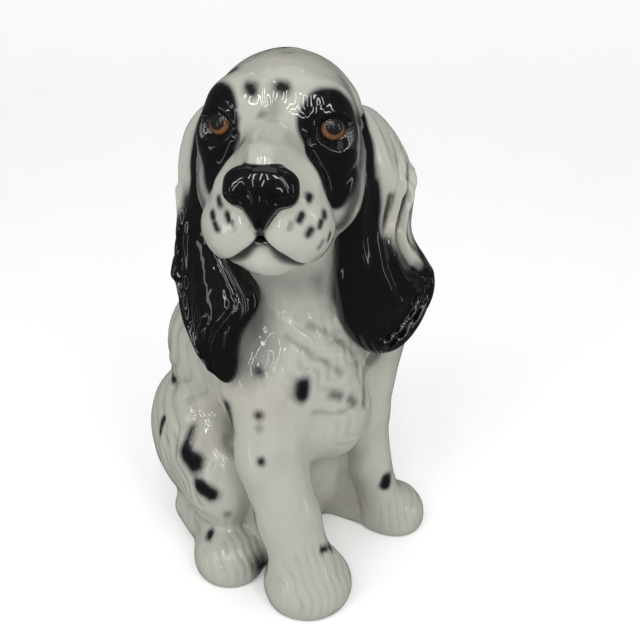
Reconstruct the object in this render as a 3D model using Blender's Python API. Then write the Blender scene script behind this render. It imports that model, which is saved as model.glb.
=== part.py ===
"""A sitting spaniel in glazed earthenware, at its real size.

It is built the way a pottery builds one. Every piece is slip-cast or pressed in a
mould of its own, and the pieces are luted to each other with wet slip before the
bisque firing. The torso and the head are thin shells that share one hollow through
the neck, and each hollow leg vents into that hollow through a small hole. The two
glass eyes go into their sockets after the glaze firing, each with a painted iris
disc behind it.

Frame: +Z up, the dog's chest towards -Y and its left side at +X. The origin is the
middle of the footprint, on the floor. Sizes below are in millimetres.
"""

import math
from dataclasses import dataclass

import bmesh
import bpy
import numpy as np
from mathutils import Matrix, Vector

MM = 0.001

# The driving dimensions.
WALL = 5.5  # thickness of the cast shell
SLIP_GAP = 0.4  # gap that the slip fills between two luted pieces
NECK_JOINT_HEIGHT = 212.0
HEAD_AT = (-7.0, -21.0, 279.0)
HEAD_TURN = -36.0  # degrees about +Z: the dog looks towards its own right
HEAD_LIFT = -10.0  # degrees about the head's own X: the nose is raised
HEAD_LEAN = 1.0  # degrees about the head's own Y
EYE_CENTRE = (28.2, -35.0, 10.8)  # in the head's frame, for the left eye
EYE_OUTWARD = 25.0  # degrees that an eye looks away from the middle line
EYE_RADIUS = 9.0
EYE_BACK = -0.5  # the flat back of the glass, measured along the eye's own axis
IRIS_RADIUS = 8.3
IRIS_THICKNESS = 0.9
VENT_RADIUS = 9.0  # the drain and firing vent in the base
VENT_AT = (0.0, 40.0)
LEG_VENT_RADIUS = 4.5
FAR_AWAY = 400.0  # half side of a cutting block

# How finely the clay is modelled.
VOXEL = 2.5
SMOOTH_ROUNDS = 8
BALL_SEGMENTS = 20
BALL_RINGS = 12
TRUNK_TRIANGLES = 3800  # the torso and the head together, outside
TRUNK_HOLLOW_TRIANGLES = 1000
LEG_TRIANGLES = 800
LEG_HOLLOW_TRIANGLES = 160
EAR_TRIANGLES = 800
TAIL_TRIANGLES = 240
EYE_SEGMENTS = 24
EYE_RINGS = 5
SHARP_ANGLE = 40.0

# Colour, roughness and metallic value of each finish.
FINISHES = {
    "white_glaze": ((0.86, 0.85, 0.81), 0.08, 0.0),
    "black_glaze": ((0.012, 0.012, 0.014), 0.06, 0.0),
    "eye_glass": ((0.75, 0.72, 0.66), 0.02, 0.0),
    "iris_enamel": ((0.33, 0.14, 0.04), 0.25, 0.0),
}


@dataclass(frozen=True)
class Ball:
    """A lump of clay: an ellipsoid with its three half axes, turned about +Z."""

    centre: tuple
    radii: tuple
    turn: float = 0.0

    def mirrored(self):
        """The same lump on the other side of the middle plane."""
        x, y, z = self.centre
        return Ball((-x, y, z), self.radii, -self.turn)

    def shrunk(self, by):
        """The lump with every half axis shorter, for the hollow inside a shell."""
        return Ball(self.centre, tuple(max(r - by, 0.0) for r in self.radii), self.turn)


def both_sides(*balls):
    """The given lumps and their mirror images."""
    return [*balls, *(ball.mirrored() for ball in balls)]


def curve_through(stations, steps):
    """Rows of numbers on a smooth curve through the given rows, ends included."""
    rows = np.array([np.hstack(row) for row in stations], dtype=float)
    rows = np.vstack([2 * rows[0] - rows[1], rows, 2 * rows[-1] - rows[-2]])
    points = []
    for before, start, end, after in zip(rows, rows[1:], rows[2:], rows[3:]):
        for t in np.linspace(0.0, 1.0, steps, endpoint=False):
            flat = 2 * start + (end - before) * t
            bend = (2 * before - 5 * start + 4 * end - after) * t**2
            twist = (3 * start - before - 3 * end + after) * t**3
            points.append((flat + bend + twist) / 2)
    return [*points, rows[-2]]


def limb(*stations, steps=6):
    """Round lumps along a bent limb, from (centre, radius) stations."""
    rows = curve_through(stations, steps)
    return [Ball((x, y, z), (r, r, r)) for x, y, z, r in rows]


def lobe(*stations, steps=5):
    """Flat lumps down an ear, from (centre, half width, half thickness, turn) stations."""
    rows = curve_through(stations, steps)
    drop = (rows[0][2] - rows[-1][2]) / (len(rows) - 1)
    return [
        Ball((x, y, z), (width, thick, max(1.6 * drop, thick)), turn)
        for x, y, z, width, thick, turn in rows
    ]


def paw(centre, width, length, height):
    """A foot that stands on the floor: a pad with four toes round its front."""
    x, y = centre
    pad = Ball((x, y, 0.3 * height), (width, length, 0.7 * height))
    toes = []
    for angle in (-57, -19, 19, 57):
        sideways, forwards = math.sin(math.radians(angle)), math.cos(math.radians(angle))
        place = (x + 0.72 * width * sideways, y - 0.76 * length * forwards, 0.26 * height)
        toes.append(Ball(place, (0.34 * width, 0.36 * length, 0.42 * height)))
    return [pad, *toes]


# ---------------------------------------------------------------- the forms

TORSO = [
    *limb(
        ((0, 42, 50), 53),  # rump
        ((0, 34, 98), 55),  # loin
        ((0, 10, 142), 51),  # ribs
        ((-2, -6, 180), 44),  # withers
        ((-6, -14, 240), 38),  # neck
    ),
    Ball((-34, -15, 146), (28, 30, 42)),  # right shoulder
    Ball((52, -14, 153), (31, 32, 46)),  # left shoulder
    Ball((-40, 24, 134), (30, 37, 45)),  # ribs on the right
    Ball((-2, -38, 144), (38, 29, 46)),  # breast
    Ball((7, -48, 106), (29, 23, 35)),  # bib of chest fur
    Ball((2, -4, 56), (44, 42, 56)),  # belly
    Ball((0, 30, 20), (48, 58, 40)),  # seat
    Ball((38, -26, 26), (11, 32, 61), 24),  # web behind the left foreleg
    Ball((-30, -22, 30), (18, 34, 60)),  # web behind the right foreleg
]
HEAD = [
    Ball((0, 2, 4), (47, 50, 49)),  # cranium
    Ball((0, -22, 14), (38, 28, 30)),  # forehead
    *both_sides(
        Ball((23, -31, 22), (15, 12, 12)),  # brow
        Ball((11, -60, -22), (17, 24, 19)),  # side of the muzzle
        Ball((14.5, -58, -39), (22, 26, 22.5)),  # flew, the hanging upper lip
        Ball((8, -69, -38), (13, 17.5, 15)),  # front of the flew
        Ball((30, -16, -20), (19, 28, 30)),  # cheek
    ),
    *limb(((0, -34, 2), 20), ((0, -74, -8), 16)),  # bridge of the nose
    Ball((0, -54, -22), (29, 34, 22)),  # muzzle
    Ball((0, -55, -55), (18, 24, 12.5)),  # chin
    Ball((0, -85, -14), (18.5, 9, 12)),  # nose
    Ball((0, -84, -25), (10, 8, 12)),  # nose tip
    *limb(((0, -4, -30), 36), ((0, 8, -56), 34)),  # throat
]
HEAD_HOLLOW = [
    Ball((0, 6, 4), (37, 38, 39)),
    *limb(((0, 0, -30), 28), ((0, 8, -56), 28)),
]
RIGHT_FORELEG = [
    *limb(
        ((-33, -36, 135), 26),
        ((-39, -54, 92), 22.5),
        ((-35, -69, 55), 20.5),
        ((-32, -78, 32), 20),
    ),
    *paw((-29, -82), 28, 28, 34),
]
LEFT_FORELEG = [
    *limb(
        ((50, -24, 140), 27),
        ((42, -37, 92), 17),
        ((41, -46, 55), 14),
        ((49, -47, 30), 14),
    ),
    *paw((61, -46), 21, 22, 29),
]
RIGHT_HIND_LEG = [
    Ball((-53, 27, 69), (31, 49, 52)),  # thigh
    Ball((-57, -12, 57), (23, 31, 37)),  # knee
    *limb(((-60, 20, 16), 17), ((-61, -22, 15), 16)),  # hock
    *paw((-61, -34), 23, 25, 30),
]
LEFT_HIND_LEG = [
    Ball((50.5, 30, 62), (30, 48, 51.5)),
    Ball((55, 4, 46), (19, 26, 30)),
    *limb(((56, 28, 15), 15), ((57, 8, 14), 15)),
    *paw((58, -2), 19, 22, 26),
]
TAIL = limb(((0, 84, 30), 15), ((-12, 102, 19), 12), ((-28, 108, 13), 9))
LEFT_EAR = lobe(
    ((43, 6, 12), 14, 8, 66),
    ((48, 1, -4), 22, 10, 58),
    ((52, -2, -26), 28, 11, 48),
    ((54, -3, -55), 29, 11, 43),
    ((59, -6, -82), 32, 13, 38),
    ((60, -7, -106), 27, 13, 34),
    ((60, -7, -120), 15, 10, 30),
)
RIGHT_EAR = lobe(
    ((-43, 6, 12), 13, 8, -66),
    ((-49, 5, -4), 18, 10, -56),
    ((-51, 1, -26), 21, 11, -48),
    ((-47, -9, -55), 24, 12, -40),
    ((-38, -24, -84), 29, 14, -32),
    ((-39, -38, -106), 20, 12, -38),
    ((-31, -48, -124), 9, 8, -46),
)
# The hollow inside each leg, from (centre, radius) stations.
RIGHT_FORELEG_HOLLOW = (((-38, -47, 105), 12), ((-35, -68, 55), 12), ((-32, -80, 26), 11))
LEFT_FORELEG_HOLLOW = (((45, -35, 98), 8), ((41, -46, 55), 7), ((52, -47, 26), 7))
RIGHT_HIND_LEG_HOLLOW = (((-66, 34, 78), 9), ((-67, 24, 48), 10), ((-61, -24, 20), 9))
LEFT_HIND_LEG_HOLLOW = (((66, 34, 76), 7), ((65, 24, 46), 8), ((58, -4, 17), 8))
# Vents from a leg's hollow into the torso, from a point in the leg to one in the body.
RIGHT_FORELEG_VENT = ((-38, -47, 105), (-20, 0, 110))
LEFT_FORELEG_VENT = ((45, -35, 98), (20, 0, 102))
RIGHT_HIND_LEG_VENT = ((-66, 34, 78), (-20, 36, 84))
LEFT_HIND_LEG_VENT = ((66, 34, 76), (20, 36, 84))


# ---------------------------------------------------------------- the tools


def head_frame():
    """Where the head's own frame sits on the dog."""
    turn = Matrix.Rotation(math.radians(HEAD_TURN), 4, "Z")
    lift = Matrix.Rotation(math.radians(HEAD_LIFT), 4, "X")
    lean = Matrix.Rotation(math.radians(HEAD_LEAN), 4, "Y")
    return Matrix.Translation(HEAD_AT) @ turn @ lift @ lean


def ear_frame():
    """The frame that the ears hang in: it turns with the head but stays upright."""
    turn = Matrix.Rotation(math.radians(HEAD_TURN), 4, "Z")
    return Matrix.Translation(HEAD_AT) @ turn


def eye_frame(side):
    """An eye's frame: its centre, with +Z along the way it looks. Side is 1 on the left."""
    x, y, z = EYE_CENTRE
    outward = Matrix.Rotation(math.radians(side * EYE_OUTWARD), 4, "Z")
    forward = Matrix.Rotation(math.radians(90), 4, "X")
    return head_frame() @ Matrix.Translation((side * x, y, z)) @ outward @ forward


def new_object(name, mesh):
    """A linked object, in metres, from a bmesh in millimetres."""
    bmesh.ops.scale(mesh, vec=(MM, MM, MM), verts=mesh.verts)
    data = bpy.data.meshes.new(name)
    mesh.to_mesh(data)
    mesh.free()
    thing = bpy.data.objects.new(name, data)
    bpy.context.scene.collection.objects.link(thing)
    return thing


def apply_modifiers(thing):
    """Turns an object's modifiers into its own mesh."""
    bpy.context.view_layer.update()
    graph = bpy.context.evaluated_depsgraph_get()
    done = bpy.data.meshes.new_from_object(thing.evaluated_get(graph))
    thing.modifiers.clear()
    thing.data = done


def lump(name, balls, frame=None, more_balls=(), more_frame=None):
    """Raw lumps in one object. The second list of balls may sit in a frame of its own."""
    placed = [(ball, frame or Matrix()) for ball in balls]
    placed += [(ball, more_frame) for ball in more_balls]
    mesh = bmesh.new()
    for ball, place in placed:
        place = place @ Matrix.Translation(ball.centre)
        place = place @ Matrix.Rotation(math.radians(ball.turn), 4, "Z")
        place = place @ Matrix.Diagonal((*ball.radii, 1.0))
        bmesh.ops.create_uvsphere(
            mesh,
            u_segments=BALL_SEGMENTS,
            v_segments=BALL_RINGS,
            radius=1.0,
            matrix=place,
        )
    return new_object(name, mesh)


def pressed(thing, triangles):
    """Raw lumps made one: remeshed, smoothed, and thinned to a triangle count."""
    remesh = thing.modifiers.new("press", "REMESH")
    remesh.mode = "VOXEL"
    remesh.voxel_size = VOXEL * MM
    smooth = thing.modifiers.new("smooth", "SMOOTH")
    smooth.iterations = SMOOTH_ROUNDS
    apply_modifiers(thing)
    thin = thing.modifiers.new("thin", "DECIMATE")
    thin.ratio = min(1.0, triangles / (2 * len(thing.data.polygons)))
    apply_modifiers(thing)
    return thing


def copy_of(thing, name):
    """A separate copy of an object and its mesh."""
    twin = bpy.data.objects.new(name, thing.data.copy())
    bpy.context.scene.collection.objects.link(twin)
    return twin


def swollen(thing, gap):
    """A copy that stands a gap proud of the piece, for cutting its neighbour."""
    twin = copy_of(thing, thing.name + "_swollen")
    swell = twin.modifiers.new("swell", "DISPLACE")
    swell.strength = gap * MM
    swell.mid_level = 0.0
    apply_modifiers(twin)
    return twin


def cut(thing, cutter):
    """Takes the cutter's space out of a piece, and deletes the cutter."""
    boolean = thing.modifiers.new("cut", "BOOLEAN")
    boolean.operation = "DIFFERENCE"
    boolean.object = cutter
    apply_modifiers(thing)
    bpy.data.objects.remove(cutter)


def block(low, high):
    """A cutting block between two heights."""
    mesh = bmesh.new()
    size = (2 * FAR_AWAY, 2 * FAR_AWAY, high - low)
    place = Matrix.Translation((0, 0, (low + high) / 2)) @ Matrix.Diagonal((*size, 1.0))
    bmesh.ops.create_cube(mesh, size=1.0, matrix=place)
    return new_object("block", mesh)


def rod(start, end, radius, segments=20):
    """A round cutting rod between two points."""
    start, end = Vector(start), Vector(end)
    along = (end - start).normalized()
    turn = along.to_track_quat("Z", "Y").to_matrix().to_4x4()
    mesh = bmesh.new()
    bmesh.ops.create_cone(
        mesh,
        cap_ends=True,
        segments=segments,
        radius1=radius,
        radius2=radius,
        depth=(end - start).length,
        matrix=Matrix.Translation((start + end) / 2) @ turn,
    )
    return new_object("rod", mesh)


def drop_crumbs(thing):
    """Drops the crumbs that a cut leaves beside the piece."""
    mesh = bmesh.new()
    mesh.from_mesh(thing.data)
    left, groups = set(mesh.faces), []
    while left:
        border, group = [left.pop()], []
        while border:
            face = border.pop()
            group.append(face)
            seams = [edge for edge in face.edges if len(edge.link_faces) == 2]
            near = {other for edge in seams for other in edge.link_faces} & left
            left -= near
            border.extend(near)
        groups.append(group)
    groups.sort(key=len)
    for group in groups[:-1]:
        bmesh.ops.delete(mesh, geom=group, context="FACES")
    mesh.to_mesh(thing.data)
    mesh.free()


# ---------------------------------------------------------------- the pieces


def press_trunk():
    """The torso and the head as one solid, cut in two at the neck joint."""
    frame = head_frame()
    torso = pressed(lump("torso", TORSO, None, HEAD, frame), TRUNK_TRIANGLES)
    head = copy_of(torso, "head")
    cut(torso, block(NECK_JOINT_HEIGHT - SLIP_GAP, FAR_AWAY))
    cut(head, block(-FAR_AWAY, NECK_JOINT_HEIGHT))
    cut(torso, block(-FAR_AWAY, 0.0))
    return torso, head


def press_piece(name, balls, triangles, neighbours, frame=None):
    """One solid piece, fitted against the pieces pressed before it and the floor.

    The gap can fold over itself in a tight crease of the neighbour, so the neighbour is
    then shaved where the two still touch.
    """
    piece = pressed(lump(name, balls, frame), triangles)
    for neighbour in neighbours:
        cut(piece, swollen(neighbour, SLIP_GAP))
        cut(neighbour, swollen(piece, SLIP_GAP / 2))
    cut(piece, block(-FAR_AWAY, 0.0))
    drop_crumbs(piece)
    return piece


def hollow_trunk(torso, head):
    """Takes out the space that the torso and the head share, and opens it in the base."""
    body = [ball.shrunk(WALL) for ball in TORSO]
    hollow = pressed(lump("hollow", body, None, HEAD_HOLLOW, head_frame()), TRUNK_HOLLOW_TRIANGLES)
    cut(hollow, block(-FAR_AWAY, WALL))
    cut(head, copy_of(hollow, "head_hollow"))
    cut(torso, hollow)
    x, y = VENT_AT
    cut(torso, rod((x, y, -WALL), (x, y, 3 * WALL), VENT_RADIUS))


def hollow_leg(leg, torso, stations, vent):
    """Takes out a leg's own hollow, and opens it into the torso with a round vent."""
    cut(leg, pressed(lump("hollow", limb(*stations)), LEG_HOLLOW_TRIANGLES))
    hole = rod(*vent, LEG_VENT_RADIUS)
    cut(leg, copy_of(hole, "leg_hole"))
    cut(torso, hole)
    drop_crumbs(leg)


def turned(name, profile, segments, frame):
    """A solid of revolution about a frame's Z, from (radius, height) points, ends on the axis."""
    mesh = bmesh.new()
    verts = [mesh.verts.new((r, 0.0, z)) for r, z in profile]
    edges = [mesh.edges.new(pair) for pair in zip(verts, verts[1:])]
    bmesh.ops.spin(
        mesh,
        geom=[*verts, *edges],
        cent=(0, 0, 0),
        axis=(0, 0, 1),
        angle=2 * math.pi,
        steps=segments,
        use_merge=True,
    )
    bmesh.ops.remove_doubles(mesh, verts=mesh.verts, dist=1e-4)
    bmesh.ops.recalc_face_normals(mesh, faces=mesh.faces)
    bmesh.ops.transform(mesh, matrix=frame, verts=mesh.verts)
    return new_object(name, mesh)


def make_eye(side, head):
    """One glass eye and its iris disc, and the socket that they sit in."""
    word = "left" if side > 0 else "right"
    frame = eye_frame(side)
    rim = math.acos(EYE_BACK / EYE_RADIUS)
    dome = [
        (EYE_RADIUS * math.sin(a), EYE_RADIUS * math.cos(a))
        for a in (rim * i / EYE_RINGS for i in range(EYE_RINGS + 1))
    ]
    dome[0] = (0.0, EYE_RADIUS)
    glass = turned(f"{word}_eye_glass", [*dome, (0.0, EYE_BACK)], EYE_SEGMENTS, frame)
    top = EYE_BACK - SLIP_GAP
    low = top - IRIS_THICKNESS
    disc = [(0.0, top), (IRIS_RADIUS, top), (IRIS_RADIUS, low), (0.0, low)]
    iris = turned(f"{word}_eye_iris", disc, EYE_SEGMENTS, frame)
    ball = Ball((0, 0, 0), (EYE_RADIUS + SLIP_GAP,) * 3)
    cut(head, lump("socket", [ball], frame))
    return glass, iris


def finish(thing, name):
    """Gives a piece its material and shades its round faces smooth."""
    colour, roughness, metallic = FINISHES[name]
    material = bpy.data.materials.get(name) or bpy.data.materials.new(name)
    material.use_nodes = True
    shader = material.node_tree.nodes["Principled BSDF"]
    shader.inputs["Base Color"].default_value = (*colour, 1.0)
    shader.inputs["Roughness"].default_value = roughness
    shader.inputs["Metallic"].default_value = metallic
    thing.data.materials.clear()
    thing.data.materials.append(material)
    thing.data.shade_smooth()
    thing.data.set_sharp_from_angle(angle=math.radians(SHARP_ANGLE))


def stand_on_origin(things):
    """Moves the whole dog so that the middle of its footprint is the origin."""
    points = [vert.co for thing in things for vert in thing.data.vertices]
    low = [min(p[i] for p in points) for i in range(3)]
    high = [max(p[i] for p in points) for i in range(3)]
    middle = ((low[0] + high[0]) / 2, (low[1] + high[1]) / 2, low[2])
    shift = Matrix.Translation(-Vector(middle))
    for thing in things:
        thing.data.transform(shift)
    print("stood on the origin, moved by", [round(-v / MM, 3) for v in middle])


def main():
    """Builds every piece and stands the dog on its origin."""
    for thing in list(bpy.data.objects):
        bpy.data.objects.remove(thing)
    torso, head = press_trunk()
    right_fore = press_piece("right_foreleg", RIGHT_FORELEG, LEG_TRIANGLES, [torso])
    left_fore = press_piece("left_foreleg", LEFT_FORELEG, LEG_TRIANGLES, [torso])
    right_hind = press_piece(
        "right_hind_leg", RIGHT_HIND_LEG, LEG_TRIANGLES, [torso, right_fore]
    )
    left_hind = press_piece(
        "left_hind_leg", LEFT_HIND_LEG, LEG_TRIANGLES, [torso, left_fore]
    )
    tail = press_piece("tail", TAIL, TAIL_TRIANGLES, [torso, left_hind, right_hind])
    left_ear = press_piece(
        "left_ear", LEFT_EAR, EAR_TRIANGLES, [head, torso, left_fore], ear_frame()
    )
    right_ear = press_piece(
        "right_ear", RIGHT_EAR, EAR_TRIANGLES, [head, torso, right_fore], ear_frame()
    )
    hollow_trunk(torso, head)
    hollow_leg(right_fore, torso, RIGHT_FORELEG_HOLLOW, RIGHT_FORELEG_VENT)
    hollow_leg(left_fore, torso, LEFT_FORELEG_HOLLOW, LEFT_FORELEG_VENT)
    hollow_leg(right_hind, torso, RIGHT_HIND_LEG_HOLLOW, RIGHT_HIND_LEG_VENT)
    hollow_leg(left_hind, torso, LEFT_HIND_LEG_HOLLOW, LEFT_HIND_LEG_VENT)
    left_glass, left_iris = make_eye(1, head)
    right_glass, right_iris = make_eye(-1, head)
    white = [torso, head, right_fore, left_fore, right_hind, left_hind, tail]
    for thing in white:
        finish(thing, "white_glaze")
    for thing in (left_ear, right_ear):
        finish(thing, "black_glaze")
    for thing in (left_glass, right_glass):
        finish(thing, "eye_glass")
    for thing in (left_iris, right_iris):
        finish(thing, "iris_enamel")
    ears_and_eyes = [left_ear, right_ear, left_glass, right_glass, left_iris, right_iris]
    stand_on_origin([*white, *ears_and_eyes])


if __name__ == "__main__":
    main()
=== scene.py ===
"""A sitting spaniel in glazed earthenware, with its coat, its paint, its glass eyes and its light.

The dog is modelled the way a potter models one. The clay is a blend of round lumps and
limbs, and each cast piece is the skin of that clay over a core of its own, so that the
pieces run into each other under one glaze with no seam. The tool marks of the coat are
pressed into the skin afterwards, the paint is sprayed over them, and the two glass eyes
sit in their sockets.

Lengths are in millimetres in the clay, and in metres in every finished mesh.
"""

from __future__ import annotations

import logging
import math
from dataclasses import dataclass, field
from enum import Enum
from functools import lru_cache

import bpy
import numpy as np
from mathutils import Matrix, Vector

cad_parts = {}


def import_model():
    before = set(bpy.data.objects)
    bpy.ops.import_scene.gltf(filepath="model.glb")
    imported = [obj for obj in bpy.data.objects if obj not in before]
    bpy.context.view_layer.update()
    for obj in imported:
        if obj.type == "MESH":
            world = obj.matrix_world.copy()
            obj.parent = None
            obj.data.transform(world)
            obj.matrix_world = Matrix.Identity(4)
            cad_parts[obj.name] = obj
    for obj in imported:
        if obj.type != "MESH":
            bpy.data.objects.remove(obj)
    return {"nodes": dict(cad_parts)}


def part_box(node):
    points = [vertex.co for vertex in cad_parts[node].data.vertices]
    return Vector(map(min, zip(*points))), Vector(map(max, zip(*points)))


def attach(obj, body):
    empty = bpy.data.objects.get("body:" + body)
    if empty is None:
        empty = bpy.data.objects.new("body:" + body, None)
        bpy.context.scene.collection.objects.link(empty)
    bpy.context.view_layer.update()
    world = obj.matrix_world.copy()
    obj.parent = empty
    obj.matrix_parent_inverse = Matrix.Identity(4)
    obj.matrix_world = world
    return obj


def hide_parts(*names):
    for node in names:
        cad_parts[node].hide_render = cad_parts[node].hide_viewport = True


Array = np.ndarray
MM = 0.001
LOG = logging.getLogger("spaniel")

# How the skin is found on the clay, in millimetres where they are lengths.
SLOPE_STEP = 0.25
LAYING_ROUNDS = 5
SKIN_ROUNDS = 26
SKIN_STRIDE = 0.75
FLOOR_EDGE = 2.5


class Side(Enum):
    """The dog's own left and right, as the sign of its sideways axis."""

    LEFT = 1
    RIGHT = -1


# ---------------------------------------------------------------- shaping helpers


def smooth_step(value: Array, low: float, high: float) -> Array:
    """A cubic ramp that is 0 below low and 1 above high.

    Args:
        value: The numbers to ramp.
        low: Where the ramp starts.
        high: Where the ramp ends. It may be below low, and the ramp then falls.

    Returns:
        Numbers from 0 to 1, shaped as value.
    """
    share = np.clip((value - low) / (high - low), 0.0, 1.0)
    return share * share * (3.0 - 2.0 * share)


def blended(first: Array, second: Array, width: float) -> Array:
    """The lesser of two distances, with the corner between them rounded.

    The formula is the minimum, less a parabola that is a quarter of width deep where the
    two are equal and gone where they differ by width.

    Args:
        first: Distances to one shape.
        second: Distances to another shape.
        width: How far the fillet reaches.

    Returns:
        Distances to the two shapes run together.
    """
    overlap = np.clip(width - np.abs(first - second), 0.0, None) / width
    return np.minimum(first, second) - overlap * overlap * width / 4.0


def carved(solid: Array, keep: Array, width: float) -> Array:
    """The greater of two distances, rounded: the solid trimmed to what keep holds."""
    return -blended(-solid, -keep, width)


def curve_through(stations: Array, shares: Array) -> Array:
    """Rows on a smooth curve through the stations, each station a row of numbers.

    It is a cubic between each two stations whose slope at a station is half the step
    from the one before to the one after.

    Args:
        stations: One row for each station, at least two rows.
        shares: How far along the curve to read it, from 0 to 1.

    Returns:
        One row for each share.
    """
    rows = np.asarray(stations, float)
    rows = np.vstack([2 * rows[0] - rows[1], rows, 2 * rows[-1] - rows[-2]])
    spans = len(rows) - 3
    place = np.clip(shares, 0.0, 1.0) * spans
    index = np.minimum(place.astype(int), spans - 1)
    t = (place - index)[:, None]
    before, start, end, after = (rows[index + i] for i in range(4))
    flat = 2 * start + (end - before) * t
    bend = (2 * before - 5 * start + 4 * end - after) * t**2
    twist = (3 * start - before - 3 * end + after) * t**3
    return (flat + bend + twist) / 2


def ripple(points: Array, size: float, seed: float = 0.0) -> Array:
    """Slow, smooth unevenness from -1 to 1: three crossed waves that drift against each other.

    Args:
        points: Places in millimetres, one row each.
        size: The rough length of a wave in millimetres.
        seed: A number that shifts the waves.

    Returns:
        One number for each place.
    """
    x, y, z = (points / size * math.tau).T
    one = np.sin(0.9 * x + 0.3 * y - 0.4 * z + seed)
    two = np.sin(-0.4 * x + 0.8 * y + 0.5 * z + 2.1 * seed + 1.0 + one)
    three = np.sin(0.3 * x - 0.5 * y + 0.9 * z + 3.3 * seed + 2.0 + two)
    return (one + two + three) / 3.0


def distance_to_line(points: Array, line: Array) -> Array:
    """How far each point is from a bent line.

    Args:
        points: Places, one row each.
        line: The line's corners, one row each.

    Returns:
        One distance for each place.
    """
    nearest = np.full(len(points), np.inf)
    for start, end in zip(line[:-1], line[1:]):
        along = end - start
        share = np.clip((points - start) @ along / (along @ along), 0.0, 1.0)
        gap = points - start - share[:, None] * along
        nearest = np.minimum(nearest, np.sqrt(np.einsum("ij,ij->i", gap, gap)))
    return nearest


def near_line(points: Array, line: Array, reach: float) -> tuple[Array, Array]:
    """The places within reach of a bent line's box.

    Args:
        points: Places, one row each.
        line: The line's corners, one row each.
        reach: How far from the box to look.

    Returns:
        The numbers of those places, and how far each of them is from the line.
    """
    low, high = line.min(axis=0) - reach, line.max(axis=0) + reach
    near = np.flatnonzero(((points > low) & (points < high)).all(axis=1))
    return near, distance_to_line(points[near], line)


# ---------------------------------------------------------------- the clay


@dataclass(frozen=True)
class Placing:
    """A frame of its own on the dog: turned and tipped, then moved."""

    at: tuple[float, float, float] = (0.0, 0.0, 0.0)
    turn: float = 0.0
    lift: float = 0.0
    lean: float = 0.0

    def matrix(self) -> Array:
        """The rotation, as a turn about +Z after a lift about X after a lean about Y."""
        turn, lift, lean = np.radians([self.turn, self.lift, self.lean])
        about_z = np.array(
            [[np.cos(turn), -np.sin(turn), 0], [np.sin(turn), np.cos(turn), 0], [0, 0, 1]]
        )
        about_x = np.array(
            [[1, 0, 0], [0, np.cos(lift), -np.sin(lift)], [0, np.sin(lift), np.cos(lift)]]
        )
        about_y = np.array(
            [[np.cos(lean), 0, np.sin(lean)], [0, 1, 0], [-np.sin(lean), 0, np.cos(lean)]]
        )
        return about_z @ about_x @ about_y

    def inward(self, points: Array) -> Array:
        """Places on the dog, as seen in this frame."""
        return (points - np.array(self.at)) @ self.matrix()

    def outward(self, points: Array) -> Array:
        """Places in this frame, as seen on the dog."""
        return np.asarray(points, float) @ self.matrix().T + np.array(self.at)


@dataclass(frozen=True)
class Ball:
    """A lump of clay: an ellipsoid, turned about the frame's +Z."""

    centre: tuple[float, float, float]
    radii: tuple[float, float, float]
    turn: float = 0.0
    blend: float = 8.0

    def mirrored(self) -> Ball:
        """The same lump on the other side of the middle plane."""
        x, y, z = self.centre
        return Ball((-x, y, z), self.radii, -self.turn, self.blend)

    def distance(self, points: Array) -> Array:
        """How far each place is outside the lump, in millimetres; inside it is below 0.

        With k the length of the place over the radii, and m its length over their
        squares, the distance is close to k times (k - 1) over m.
        """
        angle = math.radians(self.turn)
        x, y, z = (points - np.array(self.centre)).T
        across = math.cos(angle) * x + math.sin(angle) * y
        ahead = math.cos(angle) * y - math.sin(angle) * x
        a, b, c = self.radii
        k = np.sqrt((across / a) ** 2 + (ahead / b) ** 2 + (z / c) ** 2) + 1e-6
        m = np.sqrt((across / a**2) ** 2 + (ahead / b**2) ** 2 + (z / c**2) ** 2) + 1e-9
        return k * (k - 1.0) / m


@dataclass(frozen=True)
class Limb:
    """A bent limb of clay: a round section whose radius changes along a line."""

    stations: tuple[tuple[tuple[float, float, float], float], ...]
    blend: float = 8.0

    def distance(self, points: Array) -> Array:
        """How far each place is outside the limb: its distance to the line less the radius."""
        total = None
        for (start, r0), (end, r1) in zip(self.stations, self.stations[1:]):
            start, end = np.array(start, float), np.array(end, float)
            along = end - start
            share = np.clip((points - start) @ along / (along @ along), 0.0, 1.0)
            gap = points - start - share[:, None] * along
            here = np.sqrt(np.einsum("ij,ij->i", gap, gap)) - (r0 + (r1 - r0) * share)
            total = here if total is None else blended(total, here, 5.0)
        return total


def both_sides(*balls: Ball) -> list[Ball]:
    """The given lumps and their mirror images."""
    return [*balls, *(ball.mirrored() for ball in balls)]


@dataclass(frozen=True)
class Part:
    """The lumps that one cast piece is made of, in a frame of their own."""

    lumps: tuple[Ball | Limb, ...]
    placing: Placing = Placing()
    blend: float = 9.0

    def distance(self, points: Array) -> Array:
        """How far each place is outside this part alone."""
        local = self.placing.inward(points)
        total = self.lumps[0].distance(local)
        for lump in self.lumps[1:]:
            total = blended(total, lump.distance(local), lump.blend)
        return total


@dataclass(frozen=True)
class Crease:
    """A furrow pressed along a smooth line that is laid on the clay."""

    line: tuple[tuple[float, float, float], ...]
    width: float
    depth: float
    placing: Placing = Placing()

    def away(self, points: Array) -> tuple[Array, Array]:
        """Which places are near the furrow, and how far each of those is from it."""
        line = laid_on_clay(self.line, self.placing, 16)
        return near_line(points, line, 4.0 * self.width)

    def press(self, points: Array) -> Array:
        """How deep the furrow is at each place: a bell across the line."""
        near, away = self.away(points)
        depth = np.zeros(len(points))
        depth[near] = self.depth * np.exp(-((away / self.width) ** 2))
        return depth


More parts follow.
